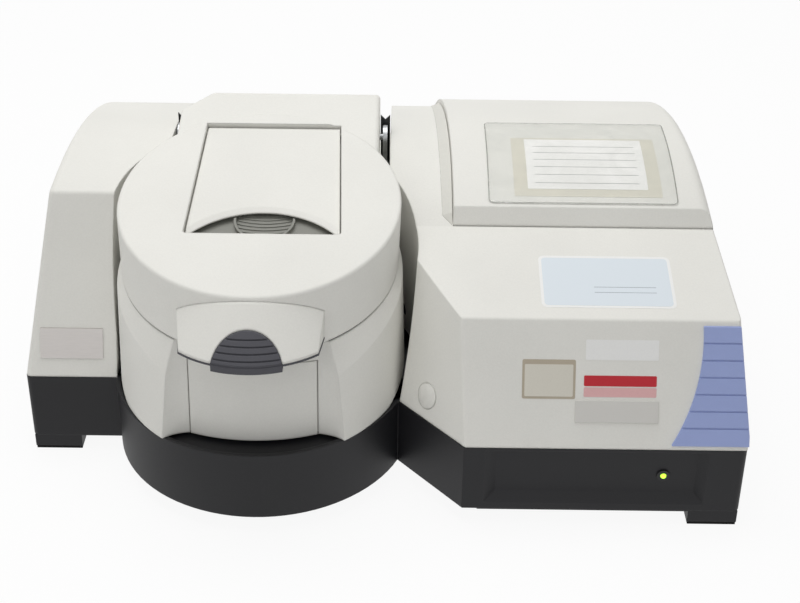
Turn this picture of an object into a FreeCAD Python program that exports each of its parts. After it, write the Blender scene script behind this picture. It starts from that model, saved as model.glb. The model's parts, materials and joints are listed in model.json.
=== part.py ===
import FreeCAD, Part
import math
import os

# Bench-top UV-visible spectrophotometer, in millimetres, +Z up.
# The model is drawn with y = 0 on the base's front face. write() moves it so that the
# origin lies under the middle of the whole instrument, on the surface it stands on.

V = FreeCAD.Vector

# Overall sizes
width = 620.0
body_depth = 545.0
pad_height = 3.0
foot_height = 11.0
seam_z = 80.0
seam_gap = 0.3
cover_wall = 3.0
base_wall = 4.0
floor_thickness = 4.0
fit_gap = 0.3

# Sample compartment drum and its disc-shaped lid
drum_x = -101.0
drum_y = 125.0
disc_radius = 121.0
disc_back = 9.0
lid_foot_radius = 119.0
lid_foot_y = 124.0
disc_z = 237.0
lid_tilt = 12.0
lid_depth = 48.0
lid_wall = 3.0
parting_gap = 2.0
disc_step = 1.5

# Base outline
bulge_radius = 130.5
bulge_y = 115.0
notch_y = 64.0
left_front_y = 94.0
facet_corner_x = 74.0
base_chamfer = 2.0
shelf_thickness = 3.0
shelf_drop = 3.0
shelf_inner_radius = 100.0
ledge_overlap = 8.0

# Right housing
right_crease_y = 43.0
right_crease_z = 180.0
right_brow_y = 149.0
right_brow_z = 206.0
right_inner_x = 9.0
right_clear_radius = 136.0
facet_set_back = 0.7
facet_corner_run = (-0.0743, 0.4653)
facet_inner_run = (0.0424, 0.513)
right_side_lean = 0.10
right_side_taper = 0.05

# Left housing
left_crease_y = 154.0
left_crease_z = 233.0
left_inner_x = -190.0
left_front_inner_x = -229.0
left_clear_radius = 130.0
left_clear_y = 131.0
deck_clear_radius = 125.5
left_side_lean = 0.14
left_side_taper = 0.04

# Arched roofs, by points on each roof's middle line, then the height of the rear edge
right_arch = ((250.0, 243.0), (body_depth - 195.0, 230.0), (body_depth - 95.0, 187.0))
left_arch = ((240.0, 244.0), (body_depth - 195.0, 224.0), (body_depth - 95.0, 179.0))
arch_tail_z = 104.0
left_edge_radius = 5.0
crease_radius = 3.0

# Lamp cover on the right housing
lamp_cover_rise = 8.0
lamp_cover_x = 65.0
lamp_cover_taper = 0.028
lamp_cover_edge_radius = 10.0
lamp_cover_front_lean = 8.0
lamp_cover_front_height = 16.0
lamp_cover_back_y = body_depth - 75.0
lamp_hole = (width / 2 - 222.0, width / 2 - 38.0, 176.0, body_depth - 105.0)

# Lid hump and hinge
hump_left_x = -182.0
hump_right_x = -1.0
hump_back_y = 292.0
hump_chamfer = 30.0
hinge_y = 268.0
hinge_z = 234.0
hinge_pin_radius = 3.0
running_gap = 0.06
bracket_thickness = 4.0
bracket_half_width = 11.0
deck_z = 176.0

# Flap in the lid
recess_x = 5.0
recess_front_half = 66.0
recess_back_half = 60.5
recess_front = -35.0
recess_back = 114.5
recess_depth = 12.0
pan_floor = 2.5
flap_gap = 1.1
flap_sink = 4.0
flap_chamfer = 6.0
flap_chamfer_depth = 2.0
flap_skin = 2.8
flap_skirt = 3.0
flap_arc_rise = 32.0
flap_pivot = 109.0
flap_pivot_depth = flap_sink + 3.8
flap_stub_radius = 1.5
flap_stub_reach = 2.4
hinge_trough = 4.5
scoop_radius = 26.0
scoop_cheek = 5.0
scoop_base = 1.0
scoop_rib_height = 0.8
scoop_rib_width = 1.4
scoop_rib_pitch = 4.2
scoop_rib_count = 6

# Handle on the lid, by its lower front edge and by the points where it meets the skirt
handle_half_width = 56.0
handle_front = -21.0
handle_end_y = 0.0
handle_root_half = 60.5
handle_root_y = 22.0
handle_bottom_z = 172.0
handle_edge_z = 173.6
handle_crown_y = 3.0
handle_crown_z = 198.5
handle_tip_y = 18.5
handle_tip_z = 182.0
handle_top_z = 215.0
underline_height = 1.5
underline_proud = 0.5
grip_plate = 6.0
grip_proud = 1.5
grip_half_width = 28.5
grip_top_z = 194.0
groove_count = 4
groove_pitch = 4.2
groove_width = 1.1
groove_depth = 1.0

# Lower drum body
drum_radius = (125.5, 123.5)
drum_centre_y = (113.0, 117.0)
ridge_x = (76.0, 69.5)
ridge_y = (7.0, 19.5)
crease_x = (54.5, 54.0)
crease_y = (16.0, 26.0)
panel_y = (5.5, 19.0)
scoop_sag = 2.0
panel_half_width = 53.4
ridge_top_z = 150.0
drum_wall = 3.2
panel_thickness = 3.0
panel_top_z = 148.0
panel_pull = 60.0
rim_slope = 0.62

# Sample compartment
well_half_width = 78.0
well_front_y = 62.0
well_back_y = 206.0
liner_wall = 2.0
bench_bottom_z = 50.0
bench_thickness = 8.0
cell_slot = 12.7
holder_size = 30.0
holder_height = 52.0
holder_wall_below = 8.0
sample_cell_y = 148.0
reference_cell_y = 184.0
beam_height = 34.0
beam_radius = 5.0
window_radius = 12.0
beam_hole_radius = 8.0
platform_thickness = 5.0

# The mains inlet's flange is the rearmost face
inlet_flange = 3.0


def box(x0, x1, y0, y1, z0, z1):
    return Part.makeBox(x1 - x0, y1 - y0, z1 - z0, V(x0, y0, z0))


def rod(radius, start, direction, length):
    return Part.makeCylinder(radius, length, start, direction)


def polygon(points):
    return Part.makePolygon(list(points) + [points[0]])


def prism(wire, direction):
    return Part.Face(wire).extrude(direction)


def plan_prism(points, z0, z1):
    return prism(polygon([V(x, y, z0) for x, y in points]), V(0, 0, z1 - z0))


def outside(point, normal, size=1600.0):
    """A large block that fills the side of a plane that its normal points to."""
    block = Part.makeBox(size, size, size, V(-size / 2, -size / 2, 0))
    block.Placement = FreeCAD.Placement(point, FreeCAD.Rotation(V(0, 0, 1), normal))
    return block


def rounded(shape, radius, chosen):
    """Rounds the edges that the test picks by their middle point and direction."""
    picked = []
    for edge in shape.Edges:
        middle = edge.valueAt((edge.FirstParameter + edge.LastParameter) / 2)
        if chosen(edge, middle):
            picked.append(edge)
    return shape.makeFillet(radius, picked)


def upright(edge):
    return abs(edge.tangentAt(edge.FirstParameter).z) > 0.99


base_bottom_z = pad_height + foot_height
base_top_z = seam_z - seam_gap
grip_front = handle_front - grip_proud
rear_end = body_depth + inlet_flange
frame_shift = V(0, -(grip_front + rear_end) / 2, 0)
tilt_slope = math.tan(math.radians(lid_tilt))
tilt_cos = math.cos(math.radians(lid_tilt))
up_slope = V(0, -math.sin(math.radians(lid_tilt)), tilt_cos)


def write(name, shape):
    moved = shape.copy()
    moved.translate(frame_shift)
    moved.exportStep("parts/" + name + ".step")


def lid_place(shape):
    """Takes a shape drawn flat on the disc, with z = 0 on its face, to the tilted lid."""
    placed = shape.copy()
    turn = FreeCAD.Rotation(V(1, 0, 0), lid_tilt)
    placed.Placement = FreeCAD.Placement(V(drum_x, drum_y, disc_z), turn).multiply(placed.Placement)
    return placed


def above_tilt(drop):
    """Everything above the plane that lies a vertical distance below the disc's face."""
    return outside(V(drum_x, drum_y, disc_z - drop), up_slope)


def below_tilt(drop):
    return outside(V(drum_x, drum_y, disc_z - drop), up_slope * -1)


# Base: moulded tray with the round bulge under the drum and the recess at the front
def base_outline(z):
    half = width / 2
    left_run = math.sqrt(bulge_radius ** 2 - (bulge_y - left_front_y) ** 2)
    right_run = math.sqrt(bulge_radius ** 2 - (bulge_y - notch_y) ** 2)
    bulge_left = V(drum_x - left_run, left_front_y, z)
    bulge_front = V(drum_x, bulge_y - bulge_radius, z)
    bulge_right = V(drum_x + right_run, notch_y, z)
    corners = [
        bulge_right,
        V(facet_corner_x, 0, z),
        V(half, 0, z),
        V(half, body_depth, z),
        V(-half, body_depth, z),
        V(-half, left_front_y, z),
        bulge_left,
    ]
    edges = [Part.makeLine(a, b) for a, b in zip(corners, corners[1:])]
    edges.append(Part.Arc(bulge_left, bulge_front, bulge_right).toShape())
    return Part.Wire(Part.__sortEdges__(edges))


def drum_shelf():
    """Ledge inside the bulge, a little below its rim, that closes the gap round the drum."""
    z0 = base_top_z - shelf_drop - shelf_thickness
    plate = Part.Face(base_outline(z0)).makeOffset2D(-base_wall / 2)
    plate = plate.extrude(V(0, 0, shelf_thickness))
    keep = box(left_front_inner_x, notch_x + 20, -40, notch_y, z0, base_top_z)
    hole = rod(shelf_inner_radius, V(drum_x, bulge_y, z0 - 1), V(0, 0, 1), shelf_thickness + 2)
    return plate.common(keep).cut(hole)


recess_outer = (width / 2 - 219.0, width / 2 - 31.0, 22.0, 77.0)
recess_inner = (width / 2 - 208.0, width / 2 - 40.0, 31.0, 73.0)
recess_reach = 6.0
recess_back_wall = 3.0
foot_size = 44.0
foot_inset = 1.0
pad_inset = 1.5
boss_radius = 7.0
boss_x = width / 2 - 40.0
boss_back_y = body_depth - 65.0
bench_bosses = [
    (-boss_x, 150),
    (-boss_x, boss_back_y),
    (0, boss_back_y),
    (boss_x, boss_back_y),
    (boss_x, 150),
    (50, 150),
]

# Rear wall fittings, by the middle of each
inlet_x = 48.0 - width / 2
inlet_z = 46.0
inlet_width = 47.0
inlet_height = 27.0
switch_x = inlet_x + 48.0
switch_width = 13.0
switch_height = 22.0
port_x = inlet_x + 102.0
port_width = 31.0
port_height = 12.5
fan_x = width / 2 - 80.0
fan_z = 48.0
fan_size = 60.0
fan_radius = 27.0
fan_depth = 25.0
vent_count = 9
vent_pitch = 6.0
vent_width = 3.0


def rectangle_y(limits, y):
    x0, x1, z0, z1 = limits
    return polygon([V(x0, y, z0), V(x1, y, z0), V(x1, y, z1), V(x0, y, z1)])


def foot_corners():
    half = width / 2
    rows = [(half - foot_size, half, 0.0), (-half, -half + foot_size, left_front_y)]
    spots = [(x0, x1, y) for x0, x1, y in rows]
    spots += [(x0, x1, body_depth - foot_size) for x0, x1, y in rows]
    return spots


def side_ledges():
    """Flat tops of the side walls, which widen towards the rear as the covers draw in."""
    half = width / 2
    z0 = base_top_z - shelf_thickness
    right_reach = ledge_overlap + right_side_taper * body_depth
    left_reach = ledge_overlap + left_side_taper * (body_depth - left_front_y)
    right = [(half, 0), (half, body_depth), (half - right_reach, body_depth), (half - 6, 0)]
    left = [
        (-half, left_front_y),
        (6 - half, left_front_y),
        (left_reach - half, body_depth),
        (-half, body_depth),
    ]
    return [plan_prism(right, z0, base_top_z), plan_prism(left, z0, base_top_z)]


def make_base_tray():
    outer = prism(base_outline(base_bottom_z), V(0, 0, base_top_z - base_bottom_z))
    outer = rounded(outer, 5.0, lambda e, m: upright(e) and abs(m.x) > width / 2 - 5)
    low_edges = [e for e in outer.Edges if max(v.Z for v in e.Vertexes) < base_bottom_z + 0.01]
    outer = outer.makeChamfer(base_chamfer, low_edges)
    inner_face = Part.Face(base_outline(base_bottom_z + floor_thickness)).makeOffset2D(-base_wall)
    inner = inner_face.extrude(V(0, 0, base_top_z - base_bottom_z))
    tray = outer.cut(inner).fuse(drum_shelf())
    for ledge in side_ledges():
        tray = tray.fuse(ledge.common(outer))
    back = recess_reach + recess_back_wall
    block = box(recess_outer[0] - 4, recess_outer[1] + 4, 1, back, base_bottom_z, base_top_z)
    tray = tray.fuse(block)
    mouth = rectangle_y(recess_outer, -0.5)
    floor = rectangle_y(recess_inner, recess_reach)
    tray = tray.cut(Part.makeLoft([mouth, floor], True, True))
    for x0, x1, y in foot_corners():
        low = box(
            x0 + foot_inset,
            x1 - foot_inset,
            y + foot_inset,
            y + foot_size - foot_inset,
            pad_height,
            base_bottom_z + 1,
        )
        tray = tray.fuse(low)
    for x, y in bench_bosses:
        low = base_bottom_z + 1
        tray = tray.fuse(rod(boss_radius, V(x, y, low), V(0, 0, 1), bench_bottom_z - low))
    wall_y = body_depth - base_wall - 1
    reach = base_wall + 2
    holes = [
        (inlet_x, inlet_width, inlet_height, inlet_z),
        (switch_x, switch_width, switch_height, inlet_z),
        (port_x, port_width, port_height, inlet_z),
    ]
    for x, w, h, z in holes:
        tray = tray.cut(box(x - w / 2, x + w / 2, wall_y, wall_y + reach, z - h / 2, z + h / 2))
    for i in range(vent_count):
        x = fan_x + (i - (vent_count - 1) / 2) * vent_pitch
        z0 = fan_z - fan_radius + 4
        z1 = fan_z + fan_radius - 4
        tray = tray.cut(box(x - vent_width / 2, x + vent_width / 2, wall_y, wall_y + reach, z0, z1))
    led_hole = rod(led_bezel_radius - 1.5, V(led_x, recess_reach - 1, led_z), V(0, 1, 0), 6)
    return tray.cut(led_hole).removeSplitter()


def make_rubber_feet():
    pads = []
    for x0, x1, y in foot_corners():
        pads.append(
            box(
                x0 + pad_inset, x1 - pad_inset, y + pad_inset, y + foot_size - pad_inset, 0, pad_height
            )
        )
    return Part.makeCompound(pads)


# Arched housings
def arch_edge(arch, start, drop, back):
    points = [V(0, start[0], start[1])]
    points += [V(0, y, z - drop) for y, z in arch]
    points.append(V(0, back, arch_tail_z - drop))
    curve = Part.BSplineCurve()
    curve.interpolate(points)
    return curve.toShape()


def housing(arch, profile, drop, back, floor_z, x0, x1):
    """A housing's full length: straight front faces, then the arched roof down to the rear."""
    roof = arch_edge(arch, profile[-1], drop, back)
    points = [V(0, back, arch_tail_z - drop), V(0, back, floor_z)]
    points += [V(0, y, z) for y, z in profile]
    edges = [roof] + [Part.makeLine(a, b) for a, b in zip(points, points[1:])]
    wire = Part.Wire(Part.__sortEdges__(edges))
    solid = prism(wire, V(x1 - x0, 0, 0))
    solid.translate(V(x0, 0, 0))
    return solid


def right_form(inset):
    floor_z = seam_z - (1.0 if inset > 0 else 0.0)
    front = inset * 1.1
    profile = [
        (front, floor_z),
        (right_crease_y + front, right_crease_z - inset),
        (right_brow_y, right_brow_z - inset),
    ]
    solid = housing(
        right_arch,
        profile,
        lamp_cover_rise + inset,
        body_depth - inset,
        floor_z,
        right_inner_x + inset,
        width / 2 - inset,
    )
    solid = solid.cut(facet_cutter(inset))
    solid = solid.cut(right_side(inset))
    hollow = rod(right_clear_radius + inset, V(drum_x, drum_y, 0), V(0, 0, 1), 400)
    return solid.cut(hollow)


def right_side(inset):
    normal = V(1, right_side_taper, right_side_lean)
    return outside(V(width / 2 - inset, right_crease_y, seam_z), normal)


notch_x = drum_x + math.sqrt(bulge_radius ** 2 - (bulge_y - notch_y) ** 2)
plug_radius = 11.0
plug_stem_radius = 7.0
plug_stem_length = 9.0
plug_along = 0.56
plug_rise = 19.0
plug_seat = 0.6


def facet_point(along, z, inset=0.0):
    """A point of the angled face: 0 is its front corner and 1 its inner end."""
    plan = V(notch_y, facet_corner_x - notch_x, 0)
    plan.normalize()
    rise = z - seam_z
    corner = V(facet_corner_x + facet_corner_run[0] * rise, facet_corner_run[1] * rise, z)
    inner = V(notch_x + facet_inner_run[0] * rise, notch_y + facet_inner_run[1] * rise, z)
    return corner + (inner - corner) * along + plan * (facet_set_back + inset * 1.1)


def facet_cutter(inset):
    """Everything in front of the angled face, which twists a little as it rises."""
    low = seam_z - 20.0
    high = seam_z + 200.0
    bottom = Part.makeLine(facet_point(-0.7, low, inset), facet_point(1.7, low, inset))
    top = Part.makeLine(facet_point(-0.7, high, inset), facet_point(1.7, high, inset))
    return Part.makeRuledSurface(bottom, top).extrude(V(-150, -130, 0))


def facet_frame():
    """Middle of the plug on the angled face, and that face's outward normal."""
    z = seam_z + plug_rise
    middle = facet_point(plug_along, z)
    sideways = facet_point(1.0, z) - facet_point(0.0, z)
    upward = facet_point(plug_along, z + 10.0) - middle
    normal = sideways.cross(upward)
    normal.normalize()
    if normal.y > 0:
        normal = normal * -1
    return middle - normal * plug_seat, normal


def make_right_cover():
    outer = right_form(0)
    outer = rounded(
        outer,
        crease_radius,
        lambda e, m: (abs(m.z - right_crease_z) < 1 and abs(m.y - right_crease_y) < 1)
        or (m.x > width / 2 - 30 and m.y < right_crease_y and m.z > seam_z + 5)
        or (
            abs(m.x - facet_corner_x) < 14
            and m.y < right_crease_y
            and seam_z + 5 < m.z < right_crease_z - 5
        ),
    )
    shell = outer.cut(right_form(cover_wall))
    x0, x1, y0, y1 = lamp_hole
    shell = shell.cut(box(x0, x1, y0, y1, 150, 300))
    middle, normal = facet_frame()
    shell = shell.cut(rod(plug_stem_radius + running_gap, middle + normal * 5, normal * -1, 30))
    shell = shell.cut(rod(plug_radius + fit_gap, middle, normal, 10))
    for hole in beam_holes(beam_hole_radius, right_inner_x - 10, 60):
        shell = shell.cut(hole)
    return shell


def make_plug():
    middle, normal = facet_frame()
    flange = rod(plug_radius, middle, normal, 1.2)
    dome_radius = 40.0
    dome_centre = middle + normal * (2.6 - dome_radius)
    dome = Part.makeSphere(dome_radius, dome_centre).common(rod(plug_radius, middle, normal, 5))
    stem = rod(plug_stem_radius, middle, normal * -1, plug_stem_length)
    return flange.fuse(dome).fuse(stem)


# Lamp cover: curved cap that lifts off the right housing's roof
def lamp_cover_form(inset):
    lean = lamp_cover_front_lean
    start = (right_brow_y + lean + inset, right_brow_z + lamp_cover_front_height - inset)
    low = seam_z
    profile = [(right_brow_y + inset, low), (right_brow_y + inset, right_brow_z), start]
    solid = housing(right_arch, profile, inset, body_depth, low, 0, width / 2)
    solid = solid.cut(right_side(inset))
    solid = solid.cut(box(-10, width, lamp_cover_back_y - inset, body_depth + 50, 0, 400))
    left_normal = V(-1, -lamp_cover_taper, 0.05)
    return solid.cut(outside(V(lamp_cover_x + inset, right_brow_y, right_brow_z), left_normal))


def make_lamp_cover():
    outer = lamp_cover_form(0)
    outer = rounded(
        outer,
        lamp_cover_edge_radius,
        lambda e, m: m.x > width / 2 - 50
        and right_brow_y + 20 < m.y < lamp_cover_back_y - 5
        and m.z > 150,
    )
    cap = outer.cut(lamp_cover_form(cover_wall))
    seat = housing(
        right_arch,
        [(100, 0), (100, right_brow_z - 30), (right_brow_y, right_brow_z + fit_gap)],
        lamp_cover_rise - fit_gap,
        body_depth,
        0,
        0,
        width,
    )
    return cap.cut(seat)


# Left housing
def left_form(inset):
    floor_z = seam_z - (1.0 if inset > 0 else 0.0)
    front = inset * 1.05
    profile = [
        (left_front_y + front, floor_z),
        (left_crease_y + front, left_crease_z - inset),
    ]
    solid = housing(
        left_arch,
        profile,
        inset,
        body_depth - inset,
        floor_z,
        -width / 2 + inset,
        left_inner_x - inset,
    )
    side_normal = V(-1, left_side_taper, left_side_lean)
    solid = solid.cut(outside(V(-width / 2 + inset, left_front_y, seam_z), side_normal))
    strip = box(left_front_inner_x - inset, left_inner_x + 5, 0, left_clear_y, 0, 400)
    hollow = rod(left_clear_radius + inset, V(drum_x, left_clear_y, 0), V(0, 0, 1), 400)
    return solid.cut(strip).cut(hollow)


def make_left_cover():
    outer = rounded(
        left_form(0),
        left_edge_radius,
        lambda e, m: (
            m.x < left_front_inner_x - 11
            and abs(m.z - left_crease_z) < 1
            and abs(m.y - left_crease_y) < 1
        )
        or (m.x < 30 - width / 2 and m.y < left_crease_y and m.z > seam_z + 5)
        or (m.x < 60 - width / 2 and left_crease_y + 20 < m.y < body_depth - 5 and m.z > 110),
    )
    shell = outer.cut(left_form(cover_wall))
    for hole in beam_holes(beam_hole_radius, left_front_inner_x - 20, left_inner_x + 10):
        shell = shell.cut(hole)
    return shell


# Low deck behind the drum, between the two housings
def deck_form(inset):
    floor_z = seam_z - (1.0 if inset > 0 else 0.0)
    points = [
        (drum_y + 60, floor_z),
        (drum_y + 60, deck_z - inset),
        (hump_back_y + 40, deck_z - inset),
        (left_arch[-1][0], 148.0 - inset),
        (body_depth - inset, arch_tail_z - inset),
        (body_depth - inset, floor_z),
    ]
    wire = polygon([V(0, y, z) for y, z in points])
    x0 = left_inner_x + fit_gap + inset
    x1 = right_inner_x - fit_gap - inset
    solid = prism(wire, V(x1 - x0, 0, 0))
    solid.translate(V(x0, 0, 0))
    return solid.cut(rod(deck_clear_radius + inset, V(drum_x, drum_y, 0), V(0, 0, 1), 400))


def make_rear_deck():
    return deck_form(0).cut(deck_form(cover_wall))


def hinge_x_pairs():
    right = hump_right_x + 3.0
    left = hump_left_x - 2.0 - bracket_thickness
    return [(left, left + bracket_thickness), (right, right + bracket_thickness)]


def make_hinge_brackets():
    plates = []
    for x0, x1 in hinge_x_pairs():
        plate = box(
            x0, x1, hinge_y - bracket_half_width, hinge_y + bracket_half_width, deck_z, hinge_z
        )
        plate = plate.fuse(rod(bracket_half_width, V(x0, hinge_y, hinge_z), V(1, 0, 0), x1 - x0))
        hole = rod(hinge_pin_radius + running_gap, V(x0 - 1, hinge_y, hinge_z), V(1, 0, 0), x1 - x0 + 2)
        plates.append(plate.cut(hole).removeSplitter())
    return Part.makeCompound(plates)


def make_hinge_pin():
    pairs = hinge_x_pairs()
    x0 = pairs[0][0]
    x1 = pairs[1][1]
    return rod(hinge_pin_radius, V(x0, hinge_y, hinge_z), V(1, 0, 0), x1 - x0)


# Lid: tilted disc on a skirt that leans back, run into the square hump over the hinge
def skirt_ring(drop, inset):
    """The skirt's outline on the plane a vertical distance below the disc's face."""
    f = drop / lid_depth
    disc_centre_y = drum_y + disc_back
    y = disc_centre_y + (lid_foot_y - disc_centre_y) * f
    radius = disc_radius + (lid_foot_radius - disc_radius) * f - inset
    z = disc_z - drop + (y - drum_y) * tilt_slope
    return Part.Wire(Part.makeCircle(radius, V(drum_x, y, z), up_slope))


def skirt_solid(rings):
    """A solid through rings given as pairs of drop and inset, from the lowest up."""
    return Part.makeLoft([skirt_ring(drop, inset) for drop, inset in rings], True, True)


def hump_block(inset, drop):
    back = hump_back_y - inset
    left = hump_left_x + inset
    right = hump_right_x - inset
    points = [
        (left, drum_y + 40),
        (left, back - hump_chamfer),
        (left + hump_chamfer, back),
        (right, back),
        (right, drum_y + 40),
    ]
    block = plan_prism(points, disc_z - 80, disc_z + 80)
    return block.cut(above_tilt(drop))


def make_lid():
    disc = skirt_solid([(lid_depth, 0), (2.0, 0), (0.6, 0.6), (0, 2.0)])
    hump = hump_block(0, disc_step).cut(below_tilt(lid_depth))
    back_z = disc_z + (hump_back_y - drum_y) * tilt_slope
    hump = rounded(hump, 9.0, lambda e, m: m.y > hump_back_y - 1 and m.z > back_z - 5)
    hump = rounded(hump, 4.0, lambda e, m: upright(e) and m.y > hump_back_y - 2)
    outer = disc.fuse(hump)
    roof_drop = lid_wall + disc_step
    inner = skirt_solid([(lid_depth + 5, lid_wall), (roof_drop, lid_wall)])
    inner = inner.fuse(hump_block(lid_wall, roof_drop).cut(below_tilt(lid_depth + 5)))
    shell = outer.cut(inner)
    side = lid_wall
    pan = lid_place(
        plan_prism(
            recess_corners(-side), -recess_depth - hinge_trough - pan_floor, -disc_step - 0.5
        )
    )
    shell = shell.fuse(pan)
    pocket = lid_place(recess_prism(0, -recess_depth, 5))
    trough = lid_place(
        box(
            recess_x - recess_back_half,
            recess_x + recess_back_half,
            flap_pivot - 7,
            recess_back,
            -recess_depth - hinge_trough,
            0,
        )
    )
    stub = flap_stub_radius + running_gap
    reach = recess_half(flap_pivot) + flap_stub_reach + fit_gap
    bore = lid_place(
        rod(stub, V(recess_x - reach, flap_pivot, -flap_pivot_depth), V(1, 0, 0), 2 * reach)
    )
    shell = shell.cut(pocket).cut(trough).cut(bore)
    pin = rod(hinge_pin_radius + running_gap, V(-400, hinge_y, hinge_z), V(1, 0, 0), 800)
    return shell.cut(pin)


def recess_half(y):
    """Half of the flap recess's width, which narrows towards the hinge."""
    f = (y - recess_front) / (recess_back - recess_front)
    return recess_front_half + (recess_back_half - recess_front_half) * f


def recess_corners(gap, back=recess_back):
    y0 = recess_front + gap
    y1 = back - gap
    w0 = recess_half(y0) - gap
    w1 = recess_half(y1) - gap
    return [
        (recess_x - w0, y0),
        (recess_x + w0, y0),
        (recess_x + w1, y1),
        (recess_x - w1, y1),
    ]


def recess_prism(gap, z0, z1):
    block = plan_prism(recess_corners(gap), z0, z1)
    return rounded(block, 3.0, lambda e, m: upright(e))


def flap_arc():
    """Centre and radius of the flap's arched front edge."""
    half = recess_front_half - flap_gap
    radius = (half ** 2 + flap_arc_rise ** 2) / (2 * flap_arc_rise)
    return recess_front + flap_gap + flap_arc_rise - radius, radius


def make_flap():
    top = -flap_sink
    low = scoop_base + fit_gap - recess_depth
    back = flap_pivot + 3.5
    plate = plan_prism(recess_corners(flap_gap, back + flap_gap), low, top)
    centre, radius = flap_arc()
    plate = plate.cut(rod(radius, V(recess_x, centre, low - 1), V(0, 0, 1), 30))
    slope = Part.makeCone(
        radius, radius + flap_chamfer, flap_chamfer_depth, V(recess_x, centre, top - flap_chamfer_depth)
    )
    plate = plate.cut(slope)
    under = plan_prism(recess_corners(flap_gap + flap_skirt), low - 1, top - flap_skin)
    under = under.cut(box(-200, 200, flap_pivot - 8, 200, low - 2, top))
    plate = plate.cut(under)
    plate = plate.cut(box(-200, 200, flap_pivot - 1.5, back + 1, low - 1, -flap_pivot_depth - 1.6))
    reach = recess_half(flap_pivot) + flap_stub_reach
    axle = rod(
        flap_stub_radius,
        V(recess_x - reach, flap_pivot, -flap_pivot_depth),
        V(1, 0, 0),
        2 * reach,
    )
    return lid_place(plate.fuse(axle).removeSplitter())


def make_finger_scoop():
    """Floor plate of the recess in front of the flap, with a ribbed patch and raised cheeks."""
    z0 = -recess_depth
    centre, radius = flap_arc()
    plate = recess_prism(fit_gap, z0, z0 + scoop_base)
    plate = plate.common(rod(radius + 4.0, V(recess_x, centre, z0), V(0, 0, 1), scoop_base))
    middle_y = recess_front + scoop_radius
    field = rod(scoop_radius - 3.0, V(recess_x, middle_y, z0), V(0, 0, 1), 4)
    height = scoop_base + scoop_rib_height
    for i in range(scoop_rib_count):
        ring_radius = 60.0 + i * scoop_rib_pitch
        ring_centre = V(recess_x, middle_y + 60.0 + scoop_rib_pitch * 1.5, z0)
        ring = rod(ring_radius, ring_centre, V(0, 0, 1), height)
        ring = ring.cut(rod(ring_radius - scoop_rib_width, ring_centre, V(0, 0, 1), height))
        plate = plate.fuse(ring.common(field))
    wall = rod(scoop_radius, V(recess_x, middle_y, z0), V(0, 0, 1), scoop_cheek)
    wall = wall.cut(rod(scoop_radius - 2.0, V(recess_x, middle_y, z0), V(0, 0, 1), scoop_cheek))
    wall = wall.common(plan_prism(recess_corners(fit_gap), z0, 0))
    wall = wall.common(rod(radius - 1.5, V(recess_x, centre, z0), V(0, 0, 1), 20))
    wall = wall.cut(box(recess_x - 16, recess_x + 16, -100, middle_y, z0, 0))
    return lid_place(plate.fuse(wall))


# Handle: shell on the lid's skirt with a twisted upper face and a ribbed grip
def handle_circle():
    depth = handle_end_y - handle_front
    radius = (handle_half_width ** 2 + depth ** 2) / (2 * depth)
    return radius, handle_front + radius


def handle_upper_face(proud):
    """Everything above the face that runs from the lower front edge back to the skirt."""
    radius, centre_y = handle_circle()
    spread = 1.15
    x0 = handle_half_width * spread
    y0 = centre_y - math.sqrt(radius ** 2 - x0 ** 2)
    lift = V(0, -proud * 0.7, proud * 0.7)
    front = [(-x0, y0, handle_edge_z), (0, handle_front, handle_edge_z), (x0, y0, handle_edge_z)]
    x1 = handle_root_half * spread
    tip_y = y0 + handle_tip_y - handle_end_y
    root = [
        (-x1, tip_y, handle_tip_z),
        (0, handle_crown_y, handle_crown_z),
        (x1, tip_y, handle_tip_z),
    ]
    front = [V(drum_x + x, y, z) + lift for x, y, z in front]
    root = [V(drum_x + x, y, z) + lift for x, y, z in root]
    fore = [r + (f - r) * 1.5 for f, r in zip(front, root)]
    rear = [f + (r - f) * 2.4 for f, r in zip(front, root)]
    low = Part.Arc(fore[0], fore[1], fore[2]).toShape()
    high = Part.Arc(rear[0], rear[1], rear[2]).toShape()
    return Part.makeRuledSurface(low, high).extrude(V(0, 0, 80))


def handle_form(proud, z0, z1):
    radius, centre_y = handle_circle()
    solid = rod(radius + proud, V(drum_x, centre_y, z0), V(0, 0, 1), z1 - z0)
    w = handle_half_width + proud
    ends = [
        (drum_x - w + 2, -60),
        (drum_x - w, handle_end_y),
        (drum_x - handle_root_half - proud, handle_root_y + 10),
        (drum_x + handle_root_half + proud, handle_root_y + 10),
        (drum_x + w, handle_end_y),
        (drum_x + w - 2, -60),
    ]
    solid = solid.common(plan_prism(ends, z0, z1))
    return solid.cut(handle_upper_face(proud))


def grip_window(grow):
    w = grip_half_width + grow
    top = grip_top_z + grow
    low = handle_bottom_z - 20
    left = V(drum_x - w, -60, handle_bottom_z)
    right = V(drum_x + w, -60, handle_bottom_z)
    crown = V(drum_x, -60, top)
    arc = Part.Arc(left, crown, right).toShape()
    lines = [
        Part.makeLine(right, V(drum_x + w, -60, low)),
        Part.makeLine(V(drum_x + w, -60, low), V(drum_x - w, -60, low)),
        Part.makeLine(V(drum_x - w, -60, low), left),
    ]
    return prism(Part.Wire(Part.__sortEdges__([arc] + lines)), V(0, 120, 0))


def lid_skirt_body():
    return skirt_solid([(lid_depth + 20, -0.15), (-20, -0.15)])


def make_handle():
    shell = handle_form(0, handle_bottom_z, handle_top_z)
    return shell.cut(grip_window(0.2)).cut(lid_skirt_body())


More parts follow.
